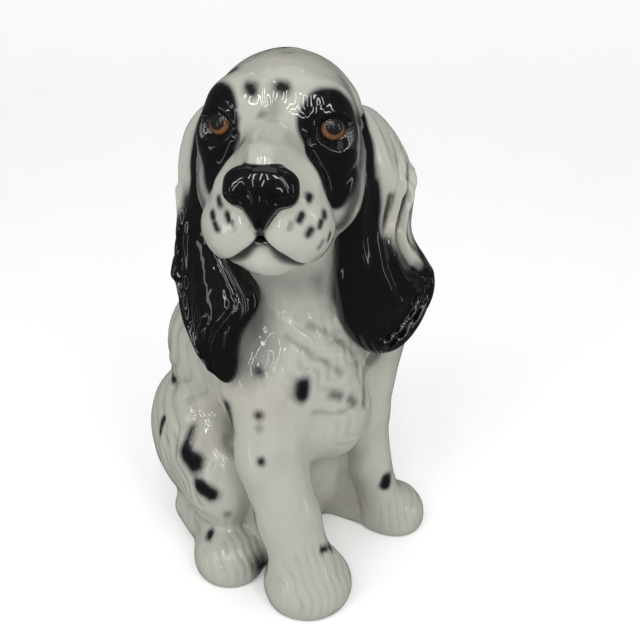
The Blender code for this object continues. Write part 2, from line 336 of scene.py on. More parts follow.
@dataclass(frozen=True)
class Locks:
    """A patch of combed coat: rounded locks with sharp valleys, waving as they run.

    A lock's height is the size of a sine of the place across the patch over the pitch, to
    which a slow sine of the place along it is added. A finer comb is laid over it.
    """

    centre: tuple[float, float, float]
    radii: tuple[float, float, float]
    along: tuple[float, float, float]
    across: tuple[float, float, float]
    pitch: float
    depth: float
    wave: float = 0.35
    length: float = 34.0
    fine: float = 0.25

    def lift(self, points: Array) -> Array:
        """How far the coat stands proud at each place."""
        every = points - np.array(self.centre)
        inside = np.sqrt(((every / np.array(self.radii)) ** 2).sum(axis=1))
        near = np.flatnonzero(inside < 1.0)
        height = np.zeros(len(points))
        points, local = points[near], every[near]
        mask = smooth_step(inside[near], 1.0, 0.55)
        along = np.array(self.along) / np.linalg.norm(self.along)
        across = np.array(self.across) / np.linalg.norm(self.across)
        run = local @ along
        drift = self.wave * np.sin(run / self.length * math.tau)
        drift += 0.25 * ripple(points, 2.2 * self.length, self.pitch)
        place = local @ across / self.pitch + drift
        big = np.abs(np.sin(math.pi * place)) - 0.62
        small = np.abs(np.sin(math.pi * (3.3 * place + 0.4 * drift))) - 0.62
        fade = 0.6 + 0.4 * ripple(points, 1.6 * self.length, 4.0)
        height[near] = mask * self.depth * (big * fade + self.fine * small)
        return height


# ---------------------------------------------------------------- the dog's shape

HEAD_PLACE = Placing((-7.0, -21.0, 279.0), turn=-36.0, lift=-10.0, lean=1.0)
EAR_PLACE = Placing((-7.0, -21.0, 279.0), turn=-36.0)

TORSO = Part(
    (
        Limb(
            (
                ((0, 42, 46), 50),
                ((0, 34, 98), 53),
                ((0, 10, 142), 49),
                ((-2, -6, 180), 42),
                ((-6, -14, 235), 35),
            ),
        ),
        Ball((-34, -15, 146), (26, 28, 40), blend=16),
        Ball((-40, 24, 134), (29, 36, 44), blend=18),
        Ball((52, -14, 153), (29, 30, 44), blend=16),
        Ball((-2, -38, 146), (36, 27, 46), blend=16),
        Ball((7, -46, 106), (29, 23, 33), blend=12),
        Ball((2, -4, 56), (43, 40, 56), blend=12),
        Ball((0, 30, 20), (47, 57, 40), blend=10),
        Ball((38, -26, 26), (10, 32, 62), turn=24, blend=12),
        Ball((-30, -22, 30), (18, 33, 58), blend=10),
    )
)
HEAD = Part(
    (
        Ball((0, 2, 4), (46, 49, 48)),
        Ball((0, -22, 14), (37, 27, 29), blend=12),
        *both_sides(
            Ball((23, -31, 22), (15, 11, 11), blend=10),
            Ball((30, -16, -20), (18, 27, 29), blend=12),
            Ball((31, -33, 4), (13, 12, 16), blend=8),
        ),
        Limb((((0, -34, 1), 19), ((0, -74, -8), 15)), blend=10),
        Ball((0, -52, -22), (28, 33, 22), blend=10),
        *both_sides(
            Ball((11, -60, -24), (17, 24, 18), blend=8),
            Ball((14.5, -58, -39), (21, 25, 21.5), blend=5),
            Ball((8, -69, -38), (12, 16.5, 14), blend=4),
        ),
        Ball((0, -55, -55), (17, 23, 11.5), blend=3),
        Limb((((0, -4, -30), 34), ((0, 8, -60), 33)), blend=12),
    ),
    HEAD_PLACE,
    blend=16,
)
NOSE = Part(
    (
        Ball((0, -84, -13), (18.5, 9.5, 9)),
        Ball((0, -86, -21), (10.5, 8, 11), blend=4),
        *both_sides(Ball((11.5, -85, -18), (7.8, 8, 7.6), blend=3)),
        Ball((0, -86, -31), (4.2, 5.5, 7.5), blend=5),
    ),
    HEAD_PLACE,
    blend=1.5,
)
RIGHT_FORELEG = Part(
    (
        Limb(
            (
                ((-33, -36, 135), 24),
                ((-39, -54, 92), 21),
                ((-35, -69, 55), 19.5),
                ((-32, -78, 30), 19.5),
            )
        ),
        Ball((-29, -83, 11), (28, 28, 23), blend=9),
    ),
    blend=18,
)
LEFT_FORELEG = Part(
    (
        Limb(
            (
                ((50, -24, 140), 25),
                ((42, -37, 92), 15.5),
                ((41, -46, 55), 12.5),
                ((49, -47, 30), 12.5),
            )
        ),
        Ball((61, -47, 10), (21, 23, 20), blend=8),
    ),
    blend=9,
)
RIGHT_HIND_LEG = Part(
    (
        Ball((-53, 27, 69), (30, 47, 50)),
        Ball((-57, -12, 57), (22, 30, 36), blend=12),
        Limb((((-60, 20, 16), 16), ((-61, -22, 15), 15)), blend=8),
        Ball((-61, -34, 10), (23, 25, 21), blend=8),
    ),
    blend=7,
)
LEFT_HIND_LEG = Part(
    (
        Ball((50, 30, 62), (29, 47, 51)),
        Ball((55, 4, 46), (18, 25, 29), blend=12),
        Limb((((56, 28, 15), 14), ((57, 8, 14), 14)), blend=8),
        Ball((58, -2, 9), (19, 22, 18), blend=8),
    ),
    blend=7,
)
TAIL = Part((Limb((((0, 84, 30), 15), ((-12, 102, 19), 12), ((-28, 108, 13), 9))),), blend=8)

# The order in which the potter joins the parts. The nose comes after the head.
ALL_PARTS = {
    "torso": TORSO,
    "head": HEAD,
    "right_foreleg": RIGHT_FORELEG,
    "left_foreleg": LEFT_FORELEG,
    "right_hind_leg": RIGHT_HIND_LEG,
    "left_hind_leg": LEFT_HIND_LEG,
    "tail": TAIL,
    "nose": NOSE,
}


@dataclass(frozen=True)
class EyeSocket:
    """Where an eye sits in the head, and the opening between its lids.

    The lids are a shell just outside the eyeball. They open in an almond: the angle from
    the eye's own axis at which the clay starts is wider sideways than up and down. The
    frame's iris disc has its middle a little behind the eyeball's.
    """

    centre: tuple[float, float, float] = (28.2, -35.0, 10.8)
    outward: float = 25.0
    radius: float = 9.0
    half_width: float = 50.0
    half_height: float = 46.0
    droop: float = 9.0
    lid: float = 10.4
    iris_back: float = 1.35

    def frame(self, side: Side) -> tuple[Array, Array]:
        """The centre of the eye, and its sideways, upward and forward axes as rows."""
        x, y, z = self.centre
        angle = math.radians(self.outward * side.value)
        across = np.array([math.cos(angle), math.sin(angle), 0.0]) * side.value
        ahead = np.array([math.sin(angle), -math.cos(angle), 0.0])
        return np.array([side.value * x, y, z]), np.array([across, [0.0, 0.0, 1.0], ahead])

    def dig(self, local: Array, clay: Array) -> Array:
        """Puts the lids on the head and opens them.

        Args:
            local: Places in the head's frame.
            clay: How far each is outside the head so far.

        Returns:
            How far each is outside the head with its lids and its open sockets.
        """
        for side in Side:
            centre, axes = self.frame(side)
            out = (local - centre) @ axes.T
            far = np.sqrt((out**2).sum(axis=1)) + 1e-6
            lean = np.degrees(np.arccos(np.clip(out[:, 2] / far, -1.0, 1.0)))
            around = np.arctan2(out[:, 1], out[:, 0])
            wide = self.half_width
            tall = self.half_height - self.droop * smooth_step(out[:, 1], -2.0, 4.0)
            opening = wide * tall / np.hypot(tall * np.cos(around), wide * np.sin(around))
            rim = np.exp(-(((lean - opening - 9.0) / 9.0) ** 2))
            shell = far - (self.lid - 0.5 + 0.5 * rim)
            clay = blended(clay, shell, 5.0)
            beside = far * np.radians(opening - lean)
            clay = carved(clay, np.minimum(beside, far - (self.radius - 0.8)), 1.0)
        return clay


SOCKET = EyeSocket()


@dataclass(frozen=True)
class Clay:
    """The whole dog in clay: every part run together, on a flat floor at height 0."""

    parts: dict[str, Part] = field(default_factory=lambda: ALL_PARTS)

    def distances(self, points: Array) -> dict[str, Array]:
        """How far each place is outside each part alone."""
        away = {name: part.distance(points) for name, part in self.parts.items()}
        away["head"] = SOCKET.dig(HEAD_PLACE.inward(points), away["head"])
        return away

    def surface(self, points: Array) -> Array:
        """How far each place is outside the whole dog."""
        return self.joined(self.distances(points), points)

    def joined(self, away: dict[str, Array], points: Array) -> Array:
        """The parts' distances run into one, with the floor trimmed flat."""
        total = None
        for name, part in self.parts.items():
            here = away[name]
            total = here if total is None else blended(total, here, part.blend)
        return carved(total, -points[:, 2], FLOOR_EDGE)

    def normals(self, points: Array) -> Array:
        """The way out of the clay at each place, from the surface's slope along four ways."""
        ways = np.array([[1, 1, 1], [1, -1, -1], [-1, 1, -1], [-1, -1, 1]], float)
        slope = sum(way * self.surface(points + SLOPE_STEP * way)[:, None] for way in ways)
        return slope / (np.linalg.norm(slope, axis=1, keepdims=True) + 1e-9)


CLAY = Clay()


# ---------------------------------------------------------------- the skin over a core


@dataclass(frozen=True)
class Core:
    """The line inside a piece that its skin is wrapped round.

    The skin is a grid. Its first number runs along the core, and at both ends its rays
    fan from straight out to straight along, so that the skin closes over the ends. Its
    second number goes round the core.
    """

    stations: tuple[tuple[float, float, float], ...]
    rows: int
    columns: int
    start_fan: float
    end_fan: float
    sideways: tuple[float, float, float] = (1.0, 0.0, 0.0)

    def rays(self) -> tuple[Array, Array]:
        """Where each ray of the grid starts, and the way it points, row by row."""
        share = np.linspace(0.0, 1.0, self.rows)
        middle = 1.0 - self.start_fan - self.end_fan
        along = np.clip((share - self.start_fan) / middle, 0.0, 1.0)
        lean = np.clip(1.0 - (1.0 - share) / self.end_fan, 0.0, 1.0)
        lean = (lean - np.clip(1.0 - share / self.start_fan, 0.0, 1.0)) * math.pi / 2
        stations = np.array(self.stations, float)
        places = curve_through(stations, along)
        tangent = curve_through(stations, along + 0.01) - curve_through(stations, along - 0.01)
        tangent /= np.linalg.norm(tangent, axis=1, keepdims=True)
        side = np.array(self.sideways) - tangent * (tangent @ np.array(self.sideways))[:, None]
        side /= np.linalg.norm(side, axis=1, keepdims=True)
        other = np.cross(tangent, side)
        angle = np.arange(self.columns) / self.columns * math.tau
        out = side[:, None] * np.cos(angle)[None, :, None]
        out = out + other[:, None] * np.sin(angle)[None, :, None]
        ways = out * np.cos(lean)[:, None, None] + tangent[:, None] * np.sin(lean)[:, None, None]
        starts = np.repeat(places[:, None], self.columns, axis=1)
        return starts.reshape(-1, 3), ways.reshape(-1, 3)


@dataclass(frozen=True)
class Skin:
    """One cast piece's surface: where the rays from its core leave the clay.

    Past its own border a piece dives under its neighbours, and it ends a little way
    inside them.
    """

    own: str
    core: Core
    reach: float = 7.0
    dive: float = 1.2

    def outside(self, points: Array) -> Array:
        """How far each place is outside this piece."""
        away = CLAY.distances(points)
        total = CLAY.joined(away, points)
        mine = away[self.own]
        others = [here for name, here in away.items() if name != self.own]
        theirs = np.minimum.reduce(others)
        total = total + self.dive * smooth_step(mine - theirs, 0.5, 6.0)
        return np.maximum(total, mine - self.reach)

    def points(self) -> Array:
        """The places of the grid on the clay, in millimetres.

        Each ray steps by three quarters of its distance to the surface, forwards inside
        the clay and back outside it, until it rests on the surface.
        """
        starts, ways = self.core.rays()
        reach = np.full(len(starts), 1.0)
        for _ in range(SKIN_ROUNDS):
            reach = reach - SKIN_STRIDE * self.outside(starts + ways * reach[:, None])
            reach = np.maximum(reach, 0.5)
        return starts + ways * reach[:, None]


def drawn_in(grid: Array, rows: int, columns: int) -> Array:
    """A grid's points, or numbers for them, with each end row drawn in to one pole.

    Args:
        grid: One row of numbers for each point, along each row of the grid in turn.
        rows: How many rows the grid has.
        columns: How many points go round in each row.

    Returns:
        The inner rows as they were, then the mean of the first row and of the last.
    """
    grid = grid.reshape(rows, columns, -1)
    poles = np.array([grid[0].mean(axis=0), grid[-1].mean(axis=0)])
    return np.vstack([grid[1:-1].reshape(-1, grid.shape[2]), poles])


def closed_faces(rows: int, columns: int, flip: bool = False) -> list[list[int]]:
    """The faces of a tube of quads that a fan of triangles closes at each pole.

    Args:
        rows: How many rows the grid has, the two that were drawn in among them.
        columns: How many points go round in each row.
        flip: Whether the grid runs the other way round, so that its faces are turned.

    Returns:
        The faces, as lists of numbers of the points that drawn_in gives.
    """
    column = np.arange(columns)
    after = (column + 1) % columns
    row = np.arange(rows - 3)[:, None] * columns
    quads = np.stack([row + column, row + after, row + columns + after, row + columns + column])
    faces = quads.reshape(4, -1).T.tolist()
    last_row = (rows - 3) * columns
    first_pole = (rows - 2) * columns
    faces += [[first_pole, int(b), int(a)] for a, b in zip(column, after)]
    faces += [[first_pole + 1, last_row + int(a), last_row + int(b)] for a, b in zip(column, after)]
    return [face[::-1] for face in faces] if flip else faces


@lru_cache(maxsize=None)
def laid_on_clay(line: tuple, place: Placing, count: int) -> Array:
    """A smooth line through a few places, moved on to the clay.

    Args:
        line: The places, in the given frame.
        place: The frame.
        count: How many corners the line is given. A single place stays single.

    Returns:
        The corners on the dog, at least two of them.
    """
    corners = np.array(line, float)
    if len(corners) > 1:
        corners = curve_through(corners, np.linspace(0.0, 1.0, count))
    corners = place.outward(corners)
    for _ in range(LAYING_ROUNDS):
        corners = corners - CLAY.normals(corners) * CLAY.surface(corners)[:, None]
    return np.vstack([corners, corners[-1] + 0.01])


# ---------------------------------------------------------------- the modelled coat

BODY_LOCKS = (
    Locks((10, -60, 156), (40, 34, 40), (0.7, 0, -1), (1, 0, 0.7), 8, 1.5, wave=0.4, length=22),
    Locks((18, -62, 112), (32, 30, 32), (0.5, 0, -1), (1, 0, 0.5), 9, 1.0, length=26),
    Locks((-28, -56, 160), (22, 24, 34), (0.2, 0, -1), (1, 0, 0.2), 8, 0.8, length=24),
    Locks((-82, 26, 96), (34, 46, 44), (0, -0.4, -1), (0, 1, -0.4), 13, 1.9, length=52),
    Locks((-78, -6, 66), (30, 40, 34), (0, -0.7, -0.8), (0, 0.8, -0.7), 9, 1.8, length=30),
    Locks((-70, -20, 34), (26, 36, 26), (0, -1, -0.5), (0.2, 0.5, -1), 10, 1.0),
    Locks((80, 26, 96), (34, 46, 44), (0, -0.4, -1), (0, 1, -0.4), 13, 1.8, length=52),
    Locks((76, 4, 58), (30, 40, 34), (0, -0.7, -0.8), (0, 0.8, -0.7), 10, 1.6, length=30),
    Locks((0, 70, 140), (60, 60, 100), (0, 0.3, -1), (1, 0, 0), 15, 1.7, length=60),
    Locks((0, 40, 215), (60, 60, 50), (0, 0.3, -1), (1, 0, 0), 13, 1.4, length=50),
    Locks((-58, 6, 140), (34, 50, 50), (0, 0.4, -1), (0, 1, 0.4), 13, 1.5, length=44),
    Locks((66, 0, 140), (34, 50, 50), (0, 0.4, -1), (0, 1, 0.4), 13, 1.5, length=44),
    Locks((-29, -96, 24), (34, 34, 28), (0, -1, -0.6), (1, 0, 0), 6, 0.9, wave=0.12, length=18),
    Locks((61, -60, 20), (26, 26, 24), (0, -1, -0.6), (1, -0.4, 0), 6, 0.8, wave=0.12, length=18),
    Locks((-62, -46, 22), (28, 30, 28), (0, -1, -0.6), (1, 0, 0), 6, 0.9, wave=0.12, length=18),
    Locks((58, -12, 14), (24, 24, 20), (0, -1, -0.4), (1, 0, 0), 6, 0.8, wave=0.12, length=18),
)
BODY_CREASES = (
    Crease(((25, -64, 116), (38, -54, 136), (54, -44, 158), (68, -28, 170)), 3.0, 2.4),
    Crease(((31, -60, 122), (44, -50, 140), (60, -40, 154)), 1.6, 1.0),
    Crease(((-14, -70, 122), (2, -70, 118), (16, -66, 120)), 1.6, 0.8),
    Crease(((-30, -50, 184), (-19, -57, 172), (-8, -62, 165), (5, -64, 152), (15, -62, 140)), 3.4, -1.6),
    Crease(((-26, -54, 172), (-16, -60, 163), (-4, -64, 154), (6, -64, 142)), 2.4, 1.2),
    Crease(((-12, -58, 178), (2, -60, 168), (14, -60, 155), (24, -58, 140)), 2.4, 1.2),
    Crease(((6, -58, 176), (18, -57, 163), (28, -55, 148), (36, -52, 132)), 3.0, -1.3),
    Crease(((-8, -64, 140), (6, -66, 136), (20, -62, 130)), 2.2, -0.9),
    Crease(((-58, -20, 118), (-62, -24, 104), (-60, -34, 92)), 3.4, 1.2),
)
HEAD_LOCKS = (
    Locks((-40, 8, 0), (30, 40, 50), (0, 0.2, -1), (0, 1, 0.2), 11, 1.2),
    Locks((40, 8, 0), (30, 40, 50), (0, 0.2, -1), (0, 1, 0.2), 11, 1.2),
    Locks((0, 46, -10), (50, 30, 50), (0, 0.2, -1), (1, 0, 0.1), 13, 1.3),
)
PHILTRUM = Crease(((0, -92, -34), (0, -86, -40), (0, -83, -47)), 1.5, 1.8, HEAD_PLACE)
MOUTH = tuple(
    Crease(
        ((0, -83, -46), (9 * x, -78, -52), (19 * x, -69, -59), (27 * x, -54, -61)),
        2.3,
        3.4,
        HEAD_PLACE,
    )
    for x in (1, -1)
)
HEAD_CREASES = (
    PHILTRUM,
    *MOUTH,
    Crease(((0, -38, 28), (0, -48, 12)), 4.0, 0.9, HEAD_PLACE),
    *(
        crease
        for x in (1, -1)
        for crease in (
            Crease(((19 * x, -48, 6), (21 * x, -54, -4), (27 * x, -55, -14)), 2.4, 1.6, HEAD_PLACE),
            Crease(((40 * x, -30, -8), (38 * x, -42, -24), (36 * x, -50, -36)), 2.6, 0.9, HEAD_PLACE),
            Crease(((36 * x, -22, 26), (42 * x, -20, 10), (42 * x, -26, -12)), 2.2, 1.1, HEAD_PLACE),
        )
    ),
)
NOSTRILS = tuple(
    Crease(((7 * x, -94, -21), (11 * x, -94, -23.5), (16 * x, -90, -21)), 1.9, 4.2, HEAD_PLACE)
    for x in (1, -1)
) + (Crease(((0, -94, -19), (0, -93, -34)), 1.2, 0.8, HEAD_PLACE),)


def coat_height(points: Array, own: str) -> Array:
    """How far the tooled coat stands above or below the plain clay at each place."""
    head = HEAD_PLACE.inward(points)
    height = sum(locks.lift(points) for locks in BODY_LOCKS)
    height = height - sum(crease.press(points) for crease in BODY_CREASES)
    height = height + sum(locks.lift(head) for locks in HEAD_LOCKS)
    height = height - sum(crease.press(points) for crease in HEAD_CREASES)
    if own == "nose":
        height = height - sum(crease.press(points) for crease in NOSTRILS)
    floor = smooth_step(points[:, 2], 0.0, 8.0)
    return (height + 0.25 * ripple(points, 23.0, 1.0)) * floor


# ---------------------------------------------------------------- the sprayed paint and the painted shade


@dataclass(frozen=True)
class Spot:
    """A sprayed spot, round or drawn out along a short line, with a soft edge."""

    line: tuple[tuple[float, float, float], ...]
    radius: float
    density: float = 1.0
    soft: float = 0.5

    def darkness(self, points: Array, place: Placing) -> Array:
        """How much black each place takes, from 0 to 1."""
        line = laid_on_clay(self.line, place, 6)
        near, away = near_line(points, line, 2.4 * self.radius)
        drawn = points[near] * [1.0, 1.0, 0.45]
        rough = ripple(drawn, 1.6 * self.radius + 3.0, self.radius)
        rough = rough + 0.35 * ripple(drawn, 3.0, 1.0)
        away = away / self.radius + 0.24 * rough
        dark = np.zeros(len(points))
        dark[near] = self.density * smooth_step(away, 1.2 + self.soft, 0.75 - self.soft)
        return dark


@dataclass(frozen=True)
class Patch:
    """A sprayed patch that fills a few lumps, in the head's frame."""

    lumps: tuple[Ball, ...]
    soft: float = 2.5

    def darkness(self, head: Array) -> Array:
        """How much black each place takes, from 0 to 1."""
        away = self.lumps[0].distance(head)
        for lump in self.lumps[1:]:
            away = blended(away, lump.distance(head), lump.blend)
        away = away + 0.8 * ripple(head, 13.0, 2.0)
        return smooth_step(away, self.soft, -self.soft)


EYE_PATCHES = (
    Patch((Ball((28, -42, 12), (17, 22, 20)), Ball((33, -40, -10), (12, 26, 22), blend=8))),
    Patch((Ball((-33, -42, 14), (15, 22, 20)), Ball((-31, -46, -8), (11, 22, 24), blend=8))),
)


def dot(x: float, y: float, z: float, radius: float = 2.2, density: float = 0.85) -> Spot:
    """A whisker dot, drawn out a little along the way the whisker grows."""
    return Spot(((x, y, z + 1.2), (x * 0.93, y, z - 1.2)), radius, density, 0.6)


HEAD_SPOTS: tuple[Spot, ...] = (
    Spot(((-13.4, -44, 31), (-12.4, -45, 28)), 3.6, 0.95, 0.7),
    Spot(((3, -45, 32), (5, -44, 30)), 3.8, 0.9, 0.7),
    Spot(((-5.5, -52, 17),), 2.6, 0.55, 0.8),
    Spot(((-36, -22, 38), (-28, -26, 40)), 4.2, 0.95, 0.5),
    Spot(((-9, -4, 52), (-2, -4, 52)), 3.2, 0.9, 0.5),
    Spot(((0, -18, 49), (4, -18, 49)), 1.8, 0.45, 0.8),
    # Painted shade: a grey streak down the side of the skull above the left ear, and dark sprays down
    # both cheeks along the ears' front edges, where the ears shade the face.
    Spot(((33, -14, 36), (38, -16, 26), (42, -16, 14)), 3.4, 0.5, 0.9),
    Spot(((45, -14, 16), (45, -22, 0), (42, -31, -22), (38, -33, -44)), 6.0, 0.72, 0.7),
    Spot(((-45, -14, 16), (-45, -22, 0), (-42, -31, -22), (-38, -33, -44)), 6.0, 0.72, 0.7),
    dot(24.5, -77, -20.5, 2.6, 0.95),
    dot(20.5, -82, -30.5),
    dot(32, -71, -30, 2.3),
    dot(30, -75, -34.5, 1.9),
    dot(24.5, -79, -38),
    dot(33, -68, -41.5, 1.7),
    dot(29.5, -73, -44.5, 1.7, 0.6),
    dot(14.5, -82, -35, 1.6, 0.4),
    dot(-23, -80, -25, 2.6, 0.9),
    dot(-17.5, -83, -32),
    dot(-27.5, -78, -32, 2.2, 0.9),
    dot(-24, -80, -37.5),
    dot(-13.5, -82, -36, 1.7, 0.4),
)
BODY_SPOTS: tuple[Spot, ...] = (
    Spot(((-44, -53, 153),), 3.4, 0.75, 0.7),
    Spot(((-21, -61, 142), (-22, -62, 137)), 5.6, 1.0, 0.5),
    Spot(((-1, -66, 131), (3, -66, 129)), 3.2, 0.65, 0.8),
    Spot(((12, -66, 124), (14, -66, 121)), 3.4, 0.6, 0.8),
    Spot(((-50, -61, 128),), 3.0, 0.8, 0.7),
    Spot(((-50, -62, 120),), 2.6, 0.4, 0.9),
    Spot(((-52, -68, 101),), 3.0, 0.85, 0.6),
    Spot(((-26, -89, 39), (-22, -89, 38)), 2.8, 0.85, 0.7),
    Spot(((-16, -88, 36),), 3.2, 0.9, 0.6),
    Spot(((-64, -36, 124), (-63, -40, 110)), 5.4, 1.0, 0.6),
    Spot(((-69, -4, 94), (-73, -6, 86)), 3.6, 0.8, 0.7),
    Spot(((-75, -8, 79), (-69, -17, 76)), 6.8, 1.0, 0.4),
    Spot(((-71, -24, 65), (-66, -30, 62)), 6.0, 1.0, 0.4),
    Spot(((-61, -33, 49),), 3.0, 0.6, 0.8),
    Spot(((-73, -30, 30), (-72, -31, 27)), 3.4, 0.9, 0.6),
    Spot(((-58, -60, 58), (-56, -62, 46)), 5.0, 0.95, 0.6),
    Spot(((-50, -62, 24), (-47, -60, 10)), 8.0, 1.0, 0.5),
    Spot(((-59, 30, 120), (-60, 28, 112)), 3.4, 0.9, 0.5),
    Spot(((-80, 22, 92), (-82, 24, 80)), 2.6, 0.9, 0.6),
    Spot(((46, -59, 50), (45, -59, 44)), 4.2, 1.0, 0.5),
    Spot(((72, -22, 148), (70, -22, 134)), 3.6, 0.9, 0.5),
    Spot(((60, -26, 110), (59, -28, 98)), 2.6, 0.7, 0.7),
    Spot(((60, 40, 110), (70, 30, 100)), 7.0, 1.0, 0.5),
    Spot(((80, 34, 74), (78, 20, 66)), 6.0, 1.0, 0.5),
    Spot(((84, 50, 50),), 5.0, 0.9, 0.6),
    Spot(((10, 78, 150), (18, 76, 142)), 6.5, 1.0, 0.5),
    Spot(((-22, 76, 126),), 5.0, 0.9, 0.6),
    Spot(((4, 92, 92), (-6, 94, 84)), 7.0, 1.0, 0.5),
    Spot(((34, 84, 74),), 4.0, 0.8, 0.7),
    Spot(((-34, 84, 66), (-40, 80, 56)), 5.0, 0.95, 0.5),
    Spot(((-20, 50, 186),), 4.0, 0.8, 0.6),
    Spot(((22, 44, 196), (28, 40, 190)), 5.0, 0.9, 0.6),
    Spot(((-26, 108, 16),), 6.0, 0.9, 0.6),
)
# Painted shade: soft dark sprays on the neck and chest under the chin and beside the hanging ears, where
# their shadow falls, with the ears' black overspray.
SHADES: tuple[Spot, ...] = (
    Spot(((-34, -44, 206), (-20, -52, 203), (-8, -54, 205)), 9.0, 0.32, 0.9),
    Spot(((-6, -54, 206), (-2, -54, 196)), 4.0, 0.22, 0.9),
    Spot(((-48, -34, 196), (-42, -46, 172), (-50, -48, 154)), 10.0, 0.5, 0.9),
    Spot(((40, -24, 236), (38, -40, 214), (30, -50, 196)), 6.0, 0.5, 0.9),
    Spot(((14, -50, 190), (26, -50, 168), (40, -46, 152), (54, -34, 152)), 8.0, 0.65, 0.8),
)


def paint(points: Array, own: str) -> Array:
    """How much black each place of a piece takes, from 0 to 1: the sprayer's paint, and painted shade.
    """
    if own == "nose":
        return np.ones(len(points))
    head = HEAD_PLACE.inward(points)
    white = np.ones(len(points))
    for patch in EYE_PATCHES:
        white = white * (1.0 - patch.darkness(head))
    for spot in HEAD_SPOTS:
        white = white * (1.0 - spot.darkness(points, HEAD_PLACE))
    # The body spots are paint; the shade sprays are painted shade.
    for spot in (*BODY_SPOTS, *SHADES):
        white = white * (1.0 - spot.darkness(points, Placing()))
    for crease in (*MOUTH, PHILTRUM):
        near, away = crease.away(points)
        white[near] *= 1.0 - 0.75 * smooth_step(away, 4.0, 1.0)
    nose = NOSE.distance(points)
    white = white * (1.0 - smooth_step(nose, 0.9, 0.3))
    return 1.0 - white


# ---------------------------------------------------------------- the finishes


def add_node(tree: bpy.types.NodeTree, kind: str, **settings: object) -> bpy.types.Node:
    """Adds a shader node and sets its properties."""
    node = tree.nodes.new(kind)
    for name, value in settings.items():
        setattr(node, name, value)
    return node


def mix_colours(tree: bpy.types.NodeTree, share: object, first: object, second: object) -> object:
    """A Mix node on colours.

    Args:
        tree: The material's nodes.
        share: A socket or a number, how much of the second colour.
        first: A socket or a colour.
        second: A socket or a colour.

    Returns:
        The socket of the mixed colour.
    """
    node = add_node(tree, "ShaderNodeMix", data_type="RGBA")
    for socket, value in ((0, share), (6, first), (7, second)):
        if isinstance(value, bpy.types.NodeSocket):
            tree.links.new(value, node.inputs[socket])
        elif isinstance(value, tuple):
            node.inputs[socket].default_value = (*value, 1.0)
        else:
            node.inputs[socket].default_value = value
    return node.outputs[2]


def ramp(tree: bpy.types.NodeTree, value: object, *stops: tuple[float, float]) -> object:
    """A ramp in grey: each stop is (place, brightness). It gives the ramp's colour socket."""
    node = add_node(tree, "ShaderNodeValToRGB")
    elements = node.color_ramp.elements
    while len(elements) < len(stops):
        elements.new(0.5)
    for element, (place, bright) in zip(elements, stops):
        element.position = place
        element.color = (bright, bright, bright, 1.0)
    tree.links.new(value, node.inputs[0])
    return node.outputs[0]


def set_sockets(node: bpy.types.Node, values: dict[str, object]) -> None:
    """Sets a node's own sockets to plain values, by name."""
    for name, value in values.items():
        node.inputs[name].default_value = value


@dataclass(frozen=True)
class Finish:
    """A finish with a name of its own. Each kind of finish dresses its shader its own way."""

    name: str

    def material(self) -> bpy.types.Material:
        """The material, made once and shared by every piece that wears it."""
        found = bpy.data.materials.get(self.name)
        if found is not None:
            return found
        material = bpy.data.materials.new(self.name)
        material.use_nodes = True
        self.dress(material.node_tree, material.node_tree.nodes["Principled BSDF"])
        return material

    def dress(self, tree: bpy.types.NodeTree, shader: bpy.types.Node) -> None:
        """Sets the shader's sockets and adds the nodes that it reads."""
        raise NotImplementedError


